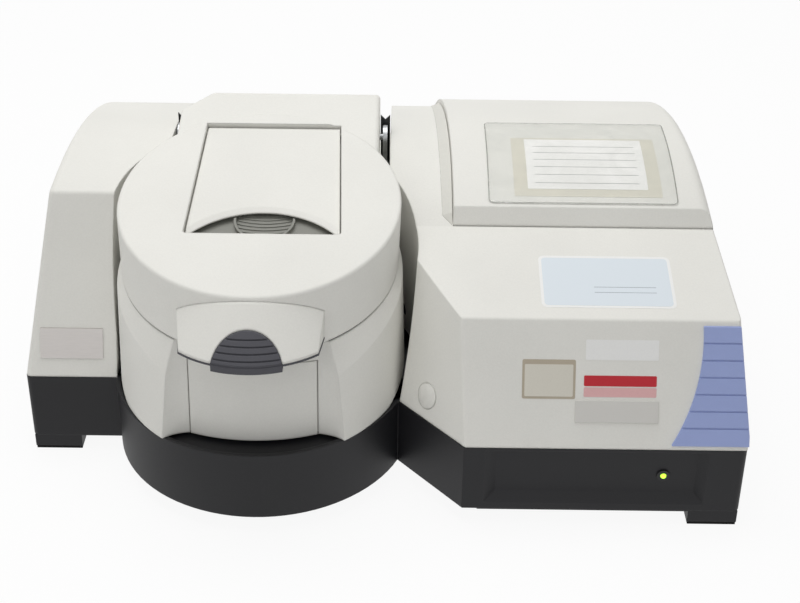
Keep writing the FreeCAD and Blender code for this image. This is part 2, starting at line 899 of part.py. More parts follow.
def make_grip():
    low = handle_bottom_z - grip_plate
    top = handle_bottom_z - 0.1
    strip = handle_form(underline_proud, top - underline_height, top)
    lip = handle_form(grip_proud, low, top)
    w = grip_half_width
    lip = lip.common(box(drum_x - w, drum_x + w, -60, 60, low, top))
    pad = handle_form(0.8, low, handle_top_z).common(grip_window(0))
    grip = strip.fuse(lip).fuse(pad).cut(lid_skirt_body())
    skin = handle_form(grip_proud + 2, low, handle_top_z).cut(
        handle_form(0.8 - groove_depth, low - 1, handle_top_z + 1)
    )
    for i in range(groove_count):
        z = handle_edge_z + 1.9 + i * groove_pitch
        slot = box(drum_x - 60, drum_x + 60, -60, 60, z, z + groove_width)
        grip = grip.cut(slot.common(skin))
    return grip


# Lower drum: scooped and ridged front, tilted rim
def drum_outline(z, inset):
    f = (z - seam_z) / (ridge_top_z - seam_z)
    mix = lambda pair: pair[0] + (pair[1] - pair[0]) * f
    centre_y = mix(drum_centre_y)
    radius = mix(drum_radius) - inset
    rx = mix(ridge_x) - inset * 0.6
    ry = mix(ridge_y) + inset * 1.2
    cx = mix(crease_x) - inset * 0.3
    cy = mix(crease_y) + inset
    front_y = mix(panel_y) + inset
    reach = math.hypot(rx, centre_y - ry)
    swell = radius + 0.22 * (reach - radius)
    half_angle = math.atan2(centre_y - ry, rx) / 2
    side_x = swell * math.cos(half_angle)
    side_y = centre_y - swell * math.sin(half_angle)
    scoop_x = (rx + cx) / 2 - scoop_sag * 0.4
    scoop_y = (ry + cy) / 2 + scoop_sag
    p = lambda x, y: V(drum_x + x, y, z)
    edges = [
        Part.Arc(p(-rx, ry), p(-side_x, side_y), p(-radius, centre_y)).toShape(),
        Part.Arc(p(-radius, centre_y), p(0, centre_y + radius), p(radius, centre_y)).toShape(),
        Part.Arc(p(radius, centre_y), p(side_x, side_y), p(rx, ry)).toShape(),
        Part.Arc(p(rx, ry), p(scoop_x, scoop_y), p(cx, cy)).toShape(),
        Part.Arc(p(cx, cy), p(0, front_y), p(-cx, cy)).toShape(),
        Part.Arc(p(-cx, cy), p(-scoop_x, scoop_y), p(-rx, ry)).toShape(),
    ]
    return Part.Wire(edges)


def drum_form(inset, z0):
    return Part.makeLoft([drum_outline(z0, inset), drum_outline(disc_z, inset)], True, True)


def panel_window(grow):
    return box(
        drum_x - panel_half_width - grow,
        drum_x + panel_half_width + grow,
        -40,
        60,
        seam_z - 1,
        panel_top_z + grow,
    )


def parting_place():
    """Placement on the plane under the lid's lower edge, over that edge's middle."""
    z = disc_z - lid_depth - parting_gap + (lid_foot_y - drum_y) * tilt_slope
    return FreeCAD.Placement(V(drum_x, lid_foot_y, z), FreeCAD.Rotation(V(1, 0, 0), lid_tilt))


def make_drum_body():
    deck_drop = lid_depth + parting_gap
    body = drum_form(0, seam_z).cut(above_tilt(deck_drop))
    rim_foot = 90.0
    rim = Part.makeCone(
        lid_foot_radius - 0.5 + rim_foot * rim_slope, lid_foot_radius - 0.5, rim_foot, V(0, 0, -rim_foot)
    )
    rim.Placement = parting_place()
    body = body.common(rim)
    recess = panel_window(fit_gap).cut(drum_form(panel_thickness + fit_gap, seam_z - 5))
    body = body.cut(recess)
    core = drum_form(panel_thickness + fit_gap + drum_wall, seam_z - 5)
    core = core.cut(above_tilt(deck_drop + drum_wall))
    body = body.cut(core)
    x = well_half_width + fit_gap
    well = box(
        drum_x - x, drum_x + x, well_front_y - fit_gap, well_back_y + fit_gap, seam_z - 5, disc_z
    )
    body = body.cut(well)
    for hole in beam_holes(beam_hole_radius, drum_x - 130, drum_x + 130):
        body = body.cut(hole)
    return body


def make_front_panel():
    skin = drum_form(0, seam_z).cut(drum_form(panel_thickness, seam_z - 5))
    window = panel_window(-0.3)
    return skin.common(window)


def make_light_seal():
    # the deck runs 0 to 1 mm inside the rim; the ring lies on it and follows the lid's edge
    ring = rod(lid_foot_radius - 1.5, V(0, 0, 0), V(0, 0, 1), parting_gap - fit_gap)
    ring = ring.cut(rod(lid_foot_radius - 6.0, V(0, 0, -1), V(0, 0, 1), parting_gap + 2))
    ring.Placement = parting_place()
    front = drum_form(1.0, seam_z)
    return ring.common(front)


# Sample compartment: black liner, beam windows, platform and two cell holders
bench_top_z = bench_bottom_z + bench_thickness
liner_floor_z = bench_top_z
beam_z = liner_floor_z + liner_wall + platform_thickness + beam_height


def beam_holes(radius, x0, x1):
    holes = []
    for y in (sample_cell_y, reference_cell_y):
        holes.append(rod(radius, V(x0, y, beam_z), V(1, 0, 0), x1 - x0))
    return holes


def make_compartment_liner():
    x = well_half_width
    outer = box(drum_x - x, drum_x + x, well_front_y, well_back_y, liner_floor_z, disc_z)
    inner = box(
        drum_x - x + liner_wall,
        drum_x + x - liner_wall,
        well_front_y + liner_wall,
        well_back_y - liner_wall,
        liner_floor_z + liner_wall,
        disc_z,
    )
    liner = outer.cut(inner).cut(above_tilt(lid_depth + parting_gap))
    for hole in beam_holes(window_radius - 2, drum_x - x - 5, drum_x + x + 5):
        liner = liner.cut(hole)
    return liner


def make_beam_windows():
    panes = []
    x = well_half_width
    for y in (sample_cell_y, reference_cell_y):
        panes.append(rod(window_radius, V(drum_x - x - 2, y, beam_z), V(1, 0, 0), 2))
        panes.append(rod(window_radius, V(drum_x + x, y, beam_z), V(1, 0, 0), 2))
    return Part.makeCompound(panes)


def make_cell_platform():
    x = 60.0
    z0 = liner_floor_z + liner_wall
    y0 = sample_cell_y - 30
    y1 = well_back_y - liner_wall - 1
    plate = box(drum_x - x, drum_x + x, y0, y1, z0, z0 + platform_thickness)
    return rounded(plate, 4.0, lambda e, m: abs(e.tangentAt(e.FirstParameter).z) > 0.99)


def make_cell_holder(y):
    half = holder_size / 2
    z0 = liner_floor_z + liner_wall + platform_thickness
    block = box(drum_x - half, drum_x + half, y - half, y + half, z0, z0 + holder_height)
    foot = box(drum_x - half - 8, drum_x + half + 8, y - half, y + half, z0, z0 + 4)
    block = rounded(block, 2.0, lambda e, m: abs(e.tangentAt(e.FirstParameter).z) > 0.99).fuse(foot)
    s = cell_slot / 2
    slot = box(drum_x - s, drum_x + s, y - s, y + s, z0 + holder_wall_below, z0 + holder_height + 1)
    block = block.cut(slot)
    return block.cut(rod(beam_radius, V(drum_x - half - 1, y, beam_z), V(1, 0, 0), holder_size + 2))


# Accent panel: seven ribbed steps on the right front corner
accent_top_z = 176.0
accent_bottom_z = 84.0
accent_left_top = width / 2 - 41.0
accent_left_bottom = width / 2 - 64.0
accent_bow = 8.0
accent_thickness = 1.8
accent_groove_count = 7
accent_groove_width = 1.2
accent_groove_depth = 0.9
accent_side_gap = 0.8


def front_lean():
    return right_crease_y / (right_crease_z - seam_z)


def make_accent_panel():
    reach = 60.0
    top_left = V(accent_left_top, 0, accent_top_z)
    bow = V(
        (accent_left_top + accent_left_bottom) / 2 + accent_bow,
        0,
        (accent_top_z + accent_bottom_z) / 2,
    )
    low_left = V(accent_left_bottom, 0, accent_bottom_z)
    low_right = V(width / 2, 0, accent_bottom_z)
    top_right = V(width / 2, 0, accent_top_z)
    edges = [
        Part.Arc(top_left, bow, low_left).toShape(),
        Part.makeLine(low_left, low_right),
        Part.makeLine(low_right, top_right),
        Part.makeLine(top_right, top_left),
    ]
    outline = prism(Part.Wire(Part.__sortEdges__(edges)), V(0, 2 * reach, 0))
    outline.translate(V(0, -reach, 0))
    slab = front_slab(-accent_thickness, 0)
    panel = slab.common(outline).cut(right_side(accent_side_gap))
    step = (accent_top_z - accent_bottom_z) / accent_groove_count
    for i in range(1, accent_groove_count):
        z = accent_bottom_z + i * step
        slot = box(width / 2 - 110, width / 2 + 10, -reach, reach, z, z + accent_groove_width)
        skin = front_slab(-accent_thickness - 1, accent_groove_depth - accent_thickness)
        panel = panel.cut(slot.common(skin))
    return panel


def front_slab(y0, y1):
    """A slab parallel to the right housing's leaning front face."""
    run = front_lean()
    z0 = seam_z - 10
    z1 = right_crease_z + 10
    points = [
        V(0, y0 + (z0 - seam_z) * run, z0),
        V(0, y1 + (z0 - seam_z) * run, z0),
        V(0, y1 + (z1 - seam_z) * run, z1),
        V(0, y0 + (z1 - seam_z) * run, z1),
    ]
    return prism(polygon(points), V(400, 0, 0))


# Bare plates where the instrument carries its badge and type plate
model_plate_box = (width / 2 - 145.0, width / 2 - 76.0, 101.0, 118.0)
badge_box = (14.0 - width / 2, 69.0 - width / 2, 96.0, 121.0)
plate_thickness = 1.0


def make_model_plate():
    x0, x1, z0, z1 = model_plate_box
    return front_slab(-plate_thickness, 0).common(box(x0, x1, -50, 100, z0, z1))


def make_badge_plate():
    x0, x1, z0, z1 = badge_box
    run = (left_crease_y - left_front_y) / (left_crease_z - seam_z)
    points = [
        V(0, left_front_y + (z - seam_z) * run + dy, z)
        for z, dy in ((z0, -plate_thickness), (z0, 0), (z1, 0), (z1, -plate_thickness))
    ]
    plate = prism(polygon(points), V(x1 - x0, 0, 0))
    plate.translate(V(x0, 0, 0))
    return plate


# Status lamp in the base recess
led_x = width / 2 - 67.0
led_z = 49.0
led_radius = 2.5
led_bezel_radius = 5.5


def make_led_bezel():
    ring = rod(led_bezel_radius, V(led_x, recess_reach - 1.5, led_z), V(0, 1, 0), 1.5)
    collar = rod(led_bezel_radius - 1.6, V(led_x, recess_reach, led_z), V(0, 1, 0), recess_back_wall)
    bore = rod(led_radius + 0.05, V(led_x, recess_reach - 3, led_z), V(0, 1, 0), 10)
    return ring.fuse(collar).cut(bore)


def make_status_led():
    stem = rod(led_radius, V(led_x, recess_reach - 1.0, led_z), V(0, 1, 0), 5)
    return stem.fuse(Part.makeSphere(led_radius, V(led_x, recess_reach - 1.0, led_z)))


# Optical bench and what it carries
bench_half = width / 2 - 18.0
bench_front_y = 130.0
bench_back_y = body_depth - 45.0


def make_optical_bench():
    points = [
        (-bench_half, bench_front_y),
        (drum_x - well_half_width - 6, bench_front_y),
        (drum_x - well_half_width - 6, well_front_y - 2),
        (drum_x + well_half_width + 6, well_front_y - 2),
        (drum_x + well_half_width + 6, bench_front_y),
        (bench_half, bench_front_y),
        (bench_half, bench_back_y),
        (-bench_half, bench_back_y),
    ]
    return plan_prism(points, bench_bottom_z, bench_top_z)


lamp_box = (width / 2 - 198.0, width / 2 - 60.0, 186.0, 300.0)
lamp_box_top = 150.0
lamp_box_wall = 2.5
deuterium_x = width / 2 - 160.0
tungsten_x = width / 2 - 98.0
lamp_y = 262.0
mirror_x = width / 2 - 129.0
mirror_y = 222.0
mirror_post_radius = 4.0


def make_lamp_housing():
    x0, x1, y0, y1 = lamp_box
    outer = box(x0, x1, y0, y1, bench_top_z, lamp_box_top)
    w = lamp_box_wall
    inner = box(x0 + w, x1 - w, y0 + w, y1 - w, bench_top_z + w, lamp_box_top + 1)
    housing_box = outer.cut(inner)
    window = rod(9.0, V(x0 - 5, mirror_y, beam_z), V(1, 0, 0), 12)
    post = rod(mirror_post_radius + running_gap, V(mirror_x, mirror_y, bench_top_z - 1), V(0, 0, 1), 10)
    boss = rod(9.0, V(mirror_x, mirror_y, bench_top_z), V(0, 0, 1), 10)
    post_hole = rod(
        mirror_post_radius + running_gap, V(mirror_x, mirror_y, bench_top_z + 1), V(0, 0, 1), 12
    )
    return housing_box.fuse(boss).cut(post).cut(post_hole).cut(window)


def make_lamp(x, radius, height):
    z0 = bench_top_z + lamp_box_wall
    base = rod(radius + 4, V(x, lamp_y, z0), V(0, 0, 1), 14)
    bulb = rod(radius, V(x, lamp_y, z0 + 14), V(0, 0, 1), height)
    tip = Part.makeSphere(radius, V(x, lamp_y, z0 + 14 + height))
    return base.fuse(bulb).fuse(tip)


def make_source_mirror():
    z0 = bench_top_z + 2
    post = rod(mirror_post_radius, V(mirror_x, mirror_y, z0), V(0, 0, 1), 20)
    plate = box(-14, 14, -2, 2, 0, 32)
    plate.Placement = FreeCAD.Placement(V(mirror_x, mirror_y, z0 + 18), FreeCAD.Rotation(V(0, 0, 1), 45))
    return post.fuse(plate)


mono_box = (width / 2 - 206.0, width / 2 - 42.0, body_depth - 233.0, body_depth - 61.0)
mono_top = 138.0
mono_wall = 4.0
grating_x = width / 2 - 110.0
grating_y = body_depth - 135.0
filter_x = width / 2 - 180.0
filter_y = body_depth - 205.0
filter_radius = 24.0


def make_monochromator():
    x0, x1, y0, y1 = mono_box
    outer = box(x0, x1, y0, y1, bench_top_z, mono_top)
    w = mono_wall
    inner = box(x0 + w, x1 - w, y0 + w, y1 - w, bench_top_z + w, mono_top - w)
    case = outer.cut(inner)
    low = bench_top_z + w
    for x, y in ((grating_x, grating_y), (filter_x + 6, filter_y)):
        case = case.fuse(rod(10.0, V(x, y, low - 1), V(0, 0, 1), 9))
        case = case.cut(rod(4.0 + running_gap, V(x, y, low), V(0, 0, 1), 9))
    return case


def make_grating_stage():
    low = bench_top_z + mono_wall
    shaft = rod(4.0, V(grating_x, grating_y, low + 0.2), V(0, 0, 1), 22)
    table = rod(20.0, V(grating_x, grating_y, low + 10), V(0, 0, 1), 5)
    block = box(-16, 16, -5, 5, 0, 36)
    block.Placement = FreeCAD.Placement(
        V(grating_x, grating_y, low + 15), FreeCAD.Rotation(V(0, 0, 1), 20)
    )
    return shaft.fuse(table).fuse(block)


def make_filter_wheel():
    low = bench_top_z + mono_wall
    x = filter_x + 6
    shaft = rod(4.0, V(x, filter_y, low + 0.2), V(0, 0, 1), 24)
    wheel = rod(filter_radius - 4, V(x, filter_y, low + 20), V(0, 0, 1), 3)
    wheel = wheel.fuse(shaft)
    for i in range(6):
        a = math.radians(60 * i)
        spot = V(x + 13 * math.cos(a), filter_y + 13 * math.sin(a), low + 19)
        wheel = wheel.cut(rod(4.2, spot, V(0, 0, 1), 5))
    return wheel


detector_top = 140.0


def make_detector():
    x0 = 20 - width / 2
    x1 = min(x0 + 54.0, left_front_inner_x - 9.0)
    block = box(x0, x1, bench_front_y + 4, well_back_y - 2, bench_top_z, detector_top)
    for y in (sample_cell_y, reference_cell_y):
        block = block.fuse(rod(11.0, V(x1, y, beam_z), V(1, 0, 0), 3))
    return block


def make_mainboard():
    z0 = base_bottom_z + floor_thickness
    y0 = body_depth - 285.0
    y1 = body_depth - 75.0
    board = box(-180, 60, y0, y1, z0 + 8, z0 + 9.6)
    for x in (-170, 50):
        for y in (y0 + 10, y1 - 10):
            board = board.fuse(rod(3.5, V(x, y, z0), V(0, 0, 1), 8.5))
    for i in range(4):
        x = 48 * i - 150
        board = board.fuse(box(x, x + 26, y0 + 40, y0 + 70, z0 + 9, z0 + 13))
        board = board.fuse(rod(6.0, V(x + 10, y1 - 50, z0 + 9), V(0, 0, 1), 16))
    return board


def make_power_supply():
    z0 = base_bottom_z + floor_thickness
    return box(width / 2 - 214, width / 2 - 34, 24, 124, z0, z0 + 48)


def make_fan_frame():
    half = fan_size / 2
    y1 = body_depth - base_wall
    frame = box(fan_x - half, fan_x + half, y1 - fan_depth, y1, fan_z - half, fan_z + half)
    frame = frame.cut(rod(fan_radius, V(fan_x, y1 - fan_depth - 1, fan_z), V(0, 1, 0), fan_depth + 2))
    for angle in (45, 135, 225, 315):
        spoke = box(0, fan_radius + 4, -1.5, 1.5, -2, 0)
        turn = FreeCAD.Rotation(V(0, 1, 0), angle).multiply(FreeCAD.Rotation(V(1, 0, 0), -90))
        spoke.Placement = FreeCAD.Placement(V(fan_x, y1 - fan_depth + 2, fan_z), turn)
        frame = frame.fuse(spoke)
    hub = rod(9.0, V(fan_x, y1 - fan_depth, fan_z), V(0, 1, 0), 3)
    axle = rod(2.0, V(fan_x, y1 - fan_depth, fan_z), V(0, 1, 0), fan_depth - 5)
    return frame.fuse(hub).fuse(axle)


def make_fan_rotor():
    y1 = body_depth - base_wall
    low = V(fan_x, y1 - fan_depth + 4, fan_z)
    rotor = rod(11.0, low, V(0, 1, 0), 17)
    for i in range(7):
        blade = box(9, fan_radius - 1.2, -0.8, 0.8, 0, 15)
        twist = FreeCAD.Rotation(V(1, 0, 0), 32)
        blade.Placement = FreeCAD.Placement(V(0, 0, 1), twist)
        blade.translate(V(0, 4.2, 0))
        round_turn = FreeCAD.Rotation(V(0, 0, 1), i * 360.0 / 7)
        upright = FreeCAD.Rotation(V(1, 0, 0), -90)
        blade.Placement = FreeCAD.Placement(low, upright.multiply(round_turn)).multiply(blade.Placement)
        rotor = rotor.fuse(blade)
    swept = rod(fan_radius - 1.0, low, V(0, 1, 0), 17)
    rotor = rotor.common(swept)
    return rotor.cut(rod(2.0 + running_gap, low - V(0, 1, 0), V(0, 1, 0), 20))


# Rear wall fittings
inlet_depth = 20.0


def make_mains_inlet():
    y1 = body_depth
    w = inlet_width / 2 - 0.2
    h = inlet_height / 2 - 0.2
    flange = box(
        inlet_x - w - 3, inlet_x + w + 3, y1, y1 + 0.0 + inlet_flange, inlet_z - h - 2, inlet_z + h + 2
    )
    body = box(inlet_x - w, inlet_x + w, y1 - inlet_depth, y1, inlet_z - h, inlet_z + h)
    socket = box(inlet_x - 12.5, inlet_x + 12.5, y1 - 14, y1 + 5, inlet_z - 8.5, inlet_z + 8.5)
    shape = flange.fuse(body).cut(socket)
    for x, z in ((-7, -1.5), (0, 2.0), (7, -1.5)):
        shape = shape.fuse(box(inlet_x + x - 1, inlet_x + x + 1, y1 - 15, y1 - 4, inlet_z + z - 2, inlet_z + z + 2))
    return shape


def make_switch_frame():
    y1 = body_depth
    w = switch_width / 2 - 0.2
    h = switch_height / 2 - 0.2
    flange = box(switch_x - w - 2, switch_x + w + 2, y1, y1 + 1.5, inlet_z - h - 2, inlet_z + h + 2)
    body = box(switch_x - w, switch_x + w, y1 - 14, y1, inlet_z - h, inlet_z + h)
    bore = box(switch_x - w + 1.2, switch_x + w - 1.2, y1 - 12, y1 + 5, inlet_z - h + 1.2, inlet_z + h - 1.2)
    frame = flange.fuse(body).cut(bore)
    pivot = rod(1.0, V(switch_x - w, rocker_y, inlet_z), V(1, 0, 0), 2 * w)
    return frame.fuse(pivot)


rocker_y = body_depth - 4.0


def make_power_rocker():
    w = switch_width / 2 - 1.7
    h = 7.4
    profile = [(-5, -4), (-5, 4), (1.5, h), (4.2, h - 0.6), (2.4, 0), (2.4, -h + 1.4), (1.0, -h)]
    wire = polygon([V(switch_x - w, rocker_y + y, inlet_z + z) for y, z in profile])
    rocker = prism(wire, V(2 * w, 0, 0))
    return rocker.cut(rod(1.0 + running_gap, V(switch_x - 20, rocker_y, inlet_z), V(1, 0, 0), 40))


def make_data_port():
    y1 = body_depth
    w = port_width / 2 - 0.2
    h = port_height / 2 - 0.2
    body = box(port_x - w, port_x + w, y1 - 8, y1 + 1, inlet_z - h, inlet_z + h)
    plate = box(port_x - w - 4, port_x + w + 4, y1, y1 + 1.0, inlet_z - h - 1, inlet_z + h + 1)
    nose = box(port_x - 8.5, port_x + 8.5, y1, y1 + 3.0, inlet_z - 4.0, inlet_z + 4.0)
    shape = body.fuse(plate).fuse(nose)
    for side in (-12.5, 12.5):
        shape = shape.fuse(rod(2.6, V(port_x + side, y1, inlet_z), V(0, 1, 0), 3.0))
    return shape


parts = {
    "base_tray": make_base_tray(),
    "rubber_feet": make_rubber_feet(),
    "left_cover": make_left_cover(),
    "right_cover": make_right_cover(),
    "facet_plug": make_plug(),
    "lamp_cover": make_lamp_cover(),
    "rear_deck": make_rear_deck(),
    "hinge_brackets": make_hinge_brackets(),
    "hinge_pin": make_hinge_pin(),
    "drum_body": make_drum_body(),
    "front_panel": make_front_panel(),
    "light_seal": make_light_seal(),
    "compartment_liner": make_compartment_liner(),
    "beam_windows": make_beam_windows(),
    "cell_platform": make_cell_platform(),
    "sample_cell_holder": make_cell_holder(sample_cell_y),
    "reference_cell_holder": make_cell_holder(reference_cell_y),
    "lid": make_lid(),
    "lid_flap": make_flap(),
    "finger_scoop": make_finger_scoop(),
    "lid_handle": make_handle(),
    "handle_grip": make_grip(),
    "accent_panel": make_accent_panel(),
    "model_plate": make_model_plate(),
    "badge_plate": make_badge_plate(),
    "led_bezel": make_led_bezel(),
    "status_led": make_status_led(),
    "optical_bench": make_optical_bench(),
    "lamp_housing": make_lamp_housing(),
    "deuterium_lamp": make_lamp(deuterium_x, 15.0, 36.0),
    "tungsten_lamp": make_lamp(tungsten_x, 7.0, 26.0),
    "source_mirror": make_source_mirror(),
    "monochromator_case": make_monochromator(),
    "grating_stage": make_grating_stage(),
    "filter_wheel": make_filter_wheel(),
    "detector_housing": make_detector(),
    "mainboard": make_mainboard(),
    "power_supply": make_power_supply(),
    "fan_frame": make_fan_frame(),
    "fan_rotor": make_fan_rotor(),
    "mains_inlet": make_mains_inlet(),
    "switch_frame": make_switch_frame(),
    "power_rocker": make_power_rocker(),
    "data_port": make_data_port(),
}

os.makedirs("parts", exist_ok=True)
for name, shape in parts.items():
    write(name, shape)
    print(name, len(shape.Solids), "solids", round(shape.Volume / 1000.0, 1), "cm3", shape.isValid())
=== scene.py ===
# %% [markdown]
# # Dressing a bench-top spectrophotometer
#
# The solid model of the instrument is loaded with its joints. This lesson gives every
# surface a finish, adds the paper labels, the clear pouch and the small trim that lie on
# it, and sets up a plain studio. Nothing here changes a size: the solids stay as they are
# loaded.

import json
import math

import bmesh
import bpy
from mathutils import Matrix, Vector
from mathutils.bvhtree import BVHTree


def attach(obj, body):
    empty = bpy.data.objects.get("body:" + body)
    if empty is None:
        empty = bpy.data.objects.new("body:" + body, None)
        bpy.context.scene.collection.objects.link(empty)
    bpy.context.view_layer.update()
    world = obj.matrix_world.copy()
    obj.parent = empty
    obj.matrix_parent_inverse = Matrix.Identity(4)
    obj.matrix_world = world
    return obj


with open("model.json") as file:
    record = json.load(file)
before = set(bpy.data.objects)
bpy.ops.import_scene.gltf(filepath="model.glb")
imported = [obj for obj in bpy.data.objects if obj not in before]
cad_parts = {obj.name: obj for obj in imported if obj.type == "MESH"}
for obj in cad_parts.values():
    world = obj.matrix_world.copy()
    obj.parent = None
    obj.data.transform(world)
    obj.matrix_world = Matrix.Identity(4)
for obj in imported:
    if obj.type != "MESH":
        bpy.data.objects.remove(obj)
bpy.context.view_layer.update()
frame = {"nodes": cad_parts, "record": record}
MM = 0.001

# %% [markdown]
# ## Colours and shader nodes
#
# Colours are picked from swatches, so they are written as sRGB hex values and one
# function turns them into the linear values that shaders use. A second function adds a
# shader node, sets its values and wires its inputs, so each material reads as a short list.


# %% Colour and node helpers
def linear(code):
    """An sRGB hex colour as linear RGBA."""
    channels = [int(code[i : i + 2], 16) / 255 for i in (1, 3, 5)]
    return (*[c / 12.92 if c <= 0.04045 else ((c + 0.055) / 1.055) ** 2.4 for c in channels], 1.0)


def add_node(owner, kind, settings=None, values=None, links=None):
    """Adds a node to a material or world; values and links go by an input's name or number."""
    made = owner.node_tree.nodes.new(kind)
    for name, value in (settings or {}).items():
        setattr(made, name, value)
    for name, value in (values or {}).items():
        made.inputs[name].default_value = value
    for name, socket in (links or {}).items():
        owner.node_tree.links.new(socket, made.inputs[name])
    return made


def new_finish(name, values):
    """A material whose Principled shader has these plain values."""
    material = bpy.data.materials.new(name)
    material.use_nodes = True
    shader = material.node_tree.nodes["Principled BSDF"]
    for socket, value in values.items():
        shader.inputs[socket].default_value = value
    return material, shader


def wire(owner, node, **sockets):
    """Links outputs to inputs of a node, where Base_Color stands for Base Color."""
    for name, socket in sockets.items():
        owner.node_tree.links.new(socket, node.inputs[name.replace("_", " ")])


print("mid grey in linear light:", round(linear("#808080")[0], 3))

# %% [markdown]
# ## An uneven tone
#
# No real surface has one even colour: paint, paper and metal drift a few percent from place
# to place. The drift could be painted as a picture. Here a pattern makes one colour lighter
# and darker instead, because that keeps the hue and needs no picture.


# %% Uneven tone
def uneven_tone(material, colour, pattern, darkest, lightest, low=0.0, high=1.0):
    """The colour times darkest to lightest, as the pattern goes from low to high."""
    shade = add_node(
        material,
        "ShaderNodeMapRange",
        values={"From Min": low, "From Max": high, "To Min": darkest, "To Max": lightest},
        links={"Value": pattern},
    )
    tint = add_node(
        material,
        "ShaderNodeVectorMath",
        {"operation": "SCALE"},
        {0: linear(colour)[:3]},
        {"Scale": shade.outputs[0]},
    )
    return tint.outputs[0]


print("tone helper ready")

# %% [markdown]
# ## The moulded housings
#
# The covers are thick structural-foam mouldings with a spattered two-pack paint. To the
# eye that is an off-white with a fine pimpled skin, slightly uneven in tone, and with soft
# edges a few millimetres round. Real fillets could be cut on the mesh, but a Bevel node
# rounds the edges in the shading and leaves the solids alone. A noise at the size of the
# spatter makes the pimples, and a broad noise makes the tone uneven. The real spatter is
# 0.5 mm, too fine to show, so it is drawn at 1.6 mm.

# %% Plastic helper
grain_mm = {"spatter": 1.6, "moulded": 0.9, "soft_touch": 0.5, "smooth": 2.5}
grain_share = 0.65
clouds_per_metre = 9.0
pimple_height_mm = 0.15


def moulded_plastic(name, colour, roughness, grain, pimple, edge_mm, tone=0.035, specular=0.4):
    """A plastic or its paint, with a skin of this grain that shows as strongly as pimple."""
    material, shader = new_finish(name, {"Roughness": roughness, "Specular IOR Level": specular})
    place = add_node(material, "ShaderNodeTexCoord").outputs["Object"]
    skin = add_node(
        material,
        "ShaderNodeTexNoise",
        values={"Scale": 1.0 / (grain_mm[grain] * MM), "Detail": 2.0, "Roughness": 0.6},
        links={"Vector": place},
    )
    cloud = add_node(
        material,
        "ShaderNodeTexNoise",
        values={"Scale": clouds_per_metre, "Detail": 4.0},
        links={"Vector": place},
    )
    both = add_node(
        material,
        "ShaderNodeMath",
        {"operation": "MULTIPLY_ADD"},
        {1: grain_share},
        {0: skin.outputs["Fac"], 2: cloud.outputs["Fac"]},
    )
    tint = uneven_tone(material, colour, both.outputs[0], 1.0 - tone, 1.0 + tone, 0.55, 1.1)
    soft_edge = add_node(material, "ShaderNodeBevel", {"samples": 6}, {"Radius": edge_mm * MM})
    bump = add_node(
        material,
        "ShaderNodeBump",
        values={"Strength": pimple, "Distance": pimple_height_mm * MM},
        links={"Height": skin.outputs["Fac"], "Normal": soft_edge.outputs[0]},
    )
    wire(material, shader, Base_Color=tint, Normal=bump.outputs[0])
    return material


print("grain sizes in mm:", grain_mm)

# %% Painted and moulded plastics
# Spattered paint is matt, with no sharp glint.
housing_paint = moulded_plastic("spattered_housing_paint", "#E7E6E0", 0.55, "spatter", 0.55, 2.2)
# The grain of a dark moulding breaks up its shine, so it looks charcoal under a lamp.
base_plastic = moulded_plastic("charcoal_moulding", "#161619", 0.5, "moulded", 0.5, 1.5, 0.18, 0.35)
# A soft-touch coat is a dull dark grey.
grip_plastic = moulded_plastic("soft_touch_grip", "#4A4A50", 0.6, "soft_touch", 0.6, 0.5, 0.08)
# Smooth black trim keeps a soft sheen.
lip_plastic = moulded_plastic("black_trim_plastic", "#141416", 0.4, "smooth", 0.15, 0.4, 0.1)
# A moulding coloured in the mass is even in tone, with a satin shine.
accent_plastic = moulded_plastic("blue_corner_moulding", "#9DABDA", 0.5, "moulded", 0.3, 0.6, 0.03)
# Light-trap paint, rubber and foam are rough and nearly black, so they give no highlight.
liner_paint = moulded_plastic("light_trap_black", "#0C0C0D", 0.85, "moulded", 0.6, 0.5, 0.1, 0.15)
foot_rubber = moulded_plastic("moulded_rubber", "#111111", 0.8, "moulded", 0.6, 0.6, 0.1, 0.2)
seal_foam = moulded_plastic("closed_cell_foam", "#0F0F10", 0.95, "spatter", 1.0, 0.5, 0.2, 0.1)
# The grey mouldings have the same satin shine as the blue one.
recess_plastic = moulded_plastic("grey_recess_moulding", "#85857E", 0.5, "moulded", 0.3, 0.4, 0.05)
plate_plastic = moulded_plastic("type_plate_moulding", "#D6D4CF", 0.45, "moulded", 0.2, 0.4, 0.02)
print("materials, with those loaded:", len(bpy.data.materials))

# %% [markdown]
# ## Metals
#
# A brushed plate shows long fine scratches, so its noise is stretched along the brushing.
# Zinc plating, castings and galvanised sheet are cloudy, each with its own size of cloud,
# and a polished mirror is nearly smooth. One noise drives the tone, the roughness and a
# shallow bump, because on real metal the three change together.

# %% Metals
scratch_depth_mm = 0.05


def worked_metal(name, colour, roughness, stretch, cell_mm, swing):
    """A metal with marks of this size; swing is how far its roughness drifts."""
    material, shader = new_finish(name, {"Metallic": 1.0})
    place = add_node(material, "ShaderNodeTexCoord").outputs["Object"]
    along = add_node(material, "ShaderNodeMapping", values={"Scale": stretch}, links={"Vector": place})
    marks = add_node(
        material,
        "ShaderNodeTexNoise",
        values={"Scale": 1.0 / (cell_mm * MM), "Detail": 3.0},
        links={"Vector": along.outputs[0]},
    )
    rough = add_node(
        material,
        "ShaderNodeMapRange",
        values={"To Min": roughness - swing, "To Max": roughness + swing},
        links={"Value": marks.outputs["Fac"]},
    )
    tint = uneven_tone(material, colour, marks.outputs["Fac"], 0.86, 1.08)
    bump = add_node(
        material,
        "ShaderNodeBump",
        values={"Strength": 0.25, "Distance": scratch_depth_mm * MM},
        links={"Height": marks.outputs["Fac"]},
    )
    wire(material, shader, Base_Color=tint, Roughness=rough.outputs[0], Normal=bump.outputs[0])
    return material


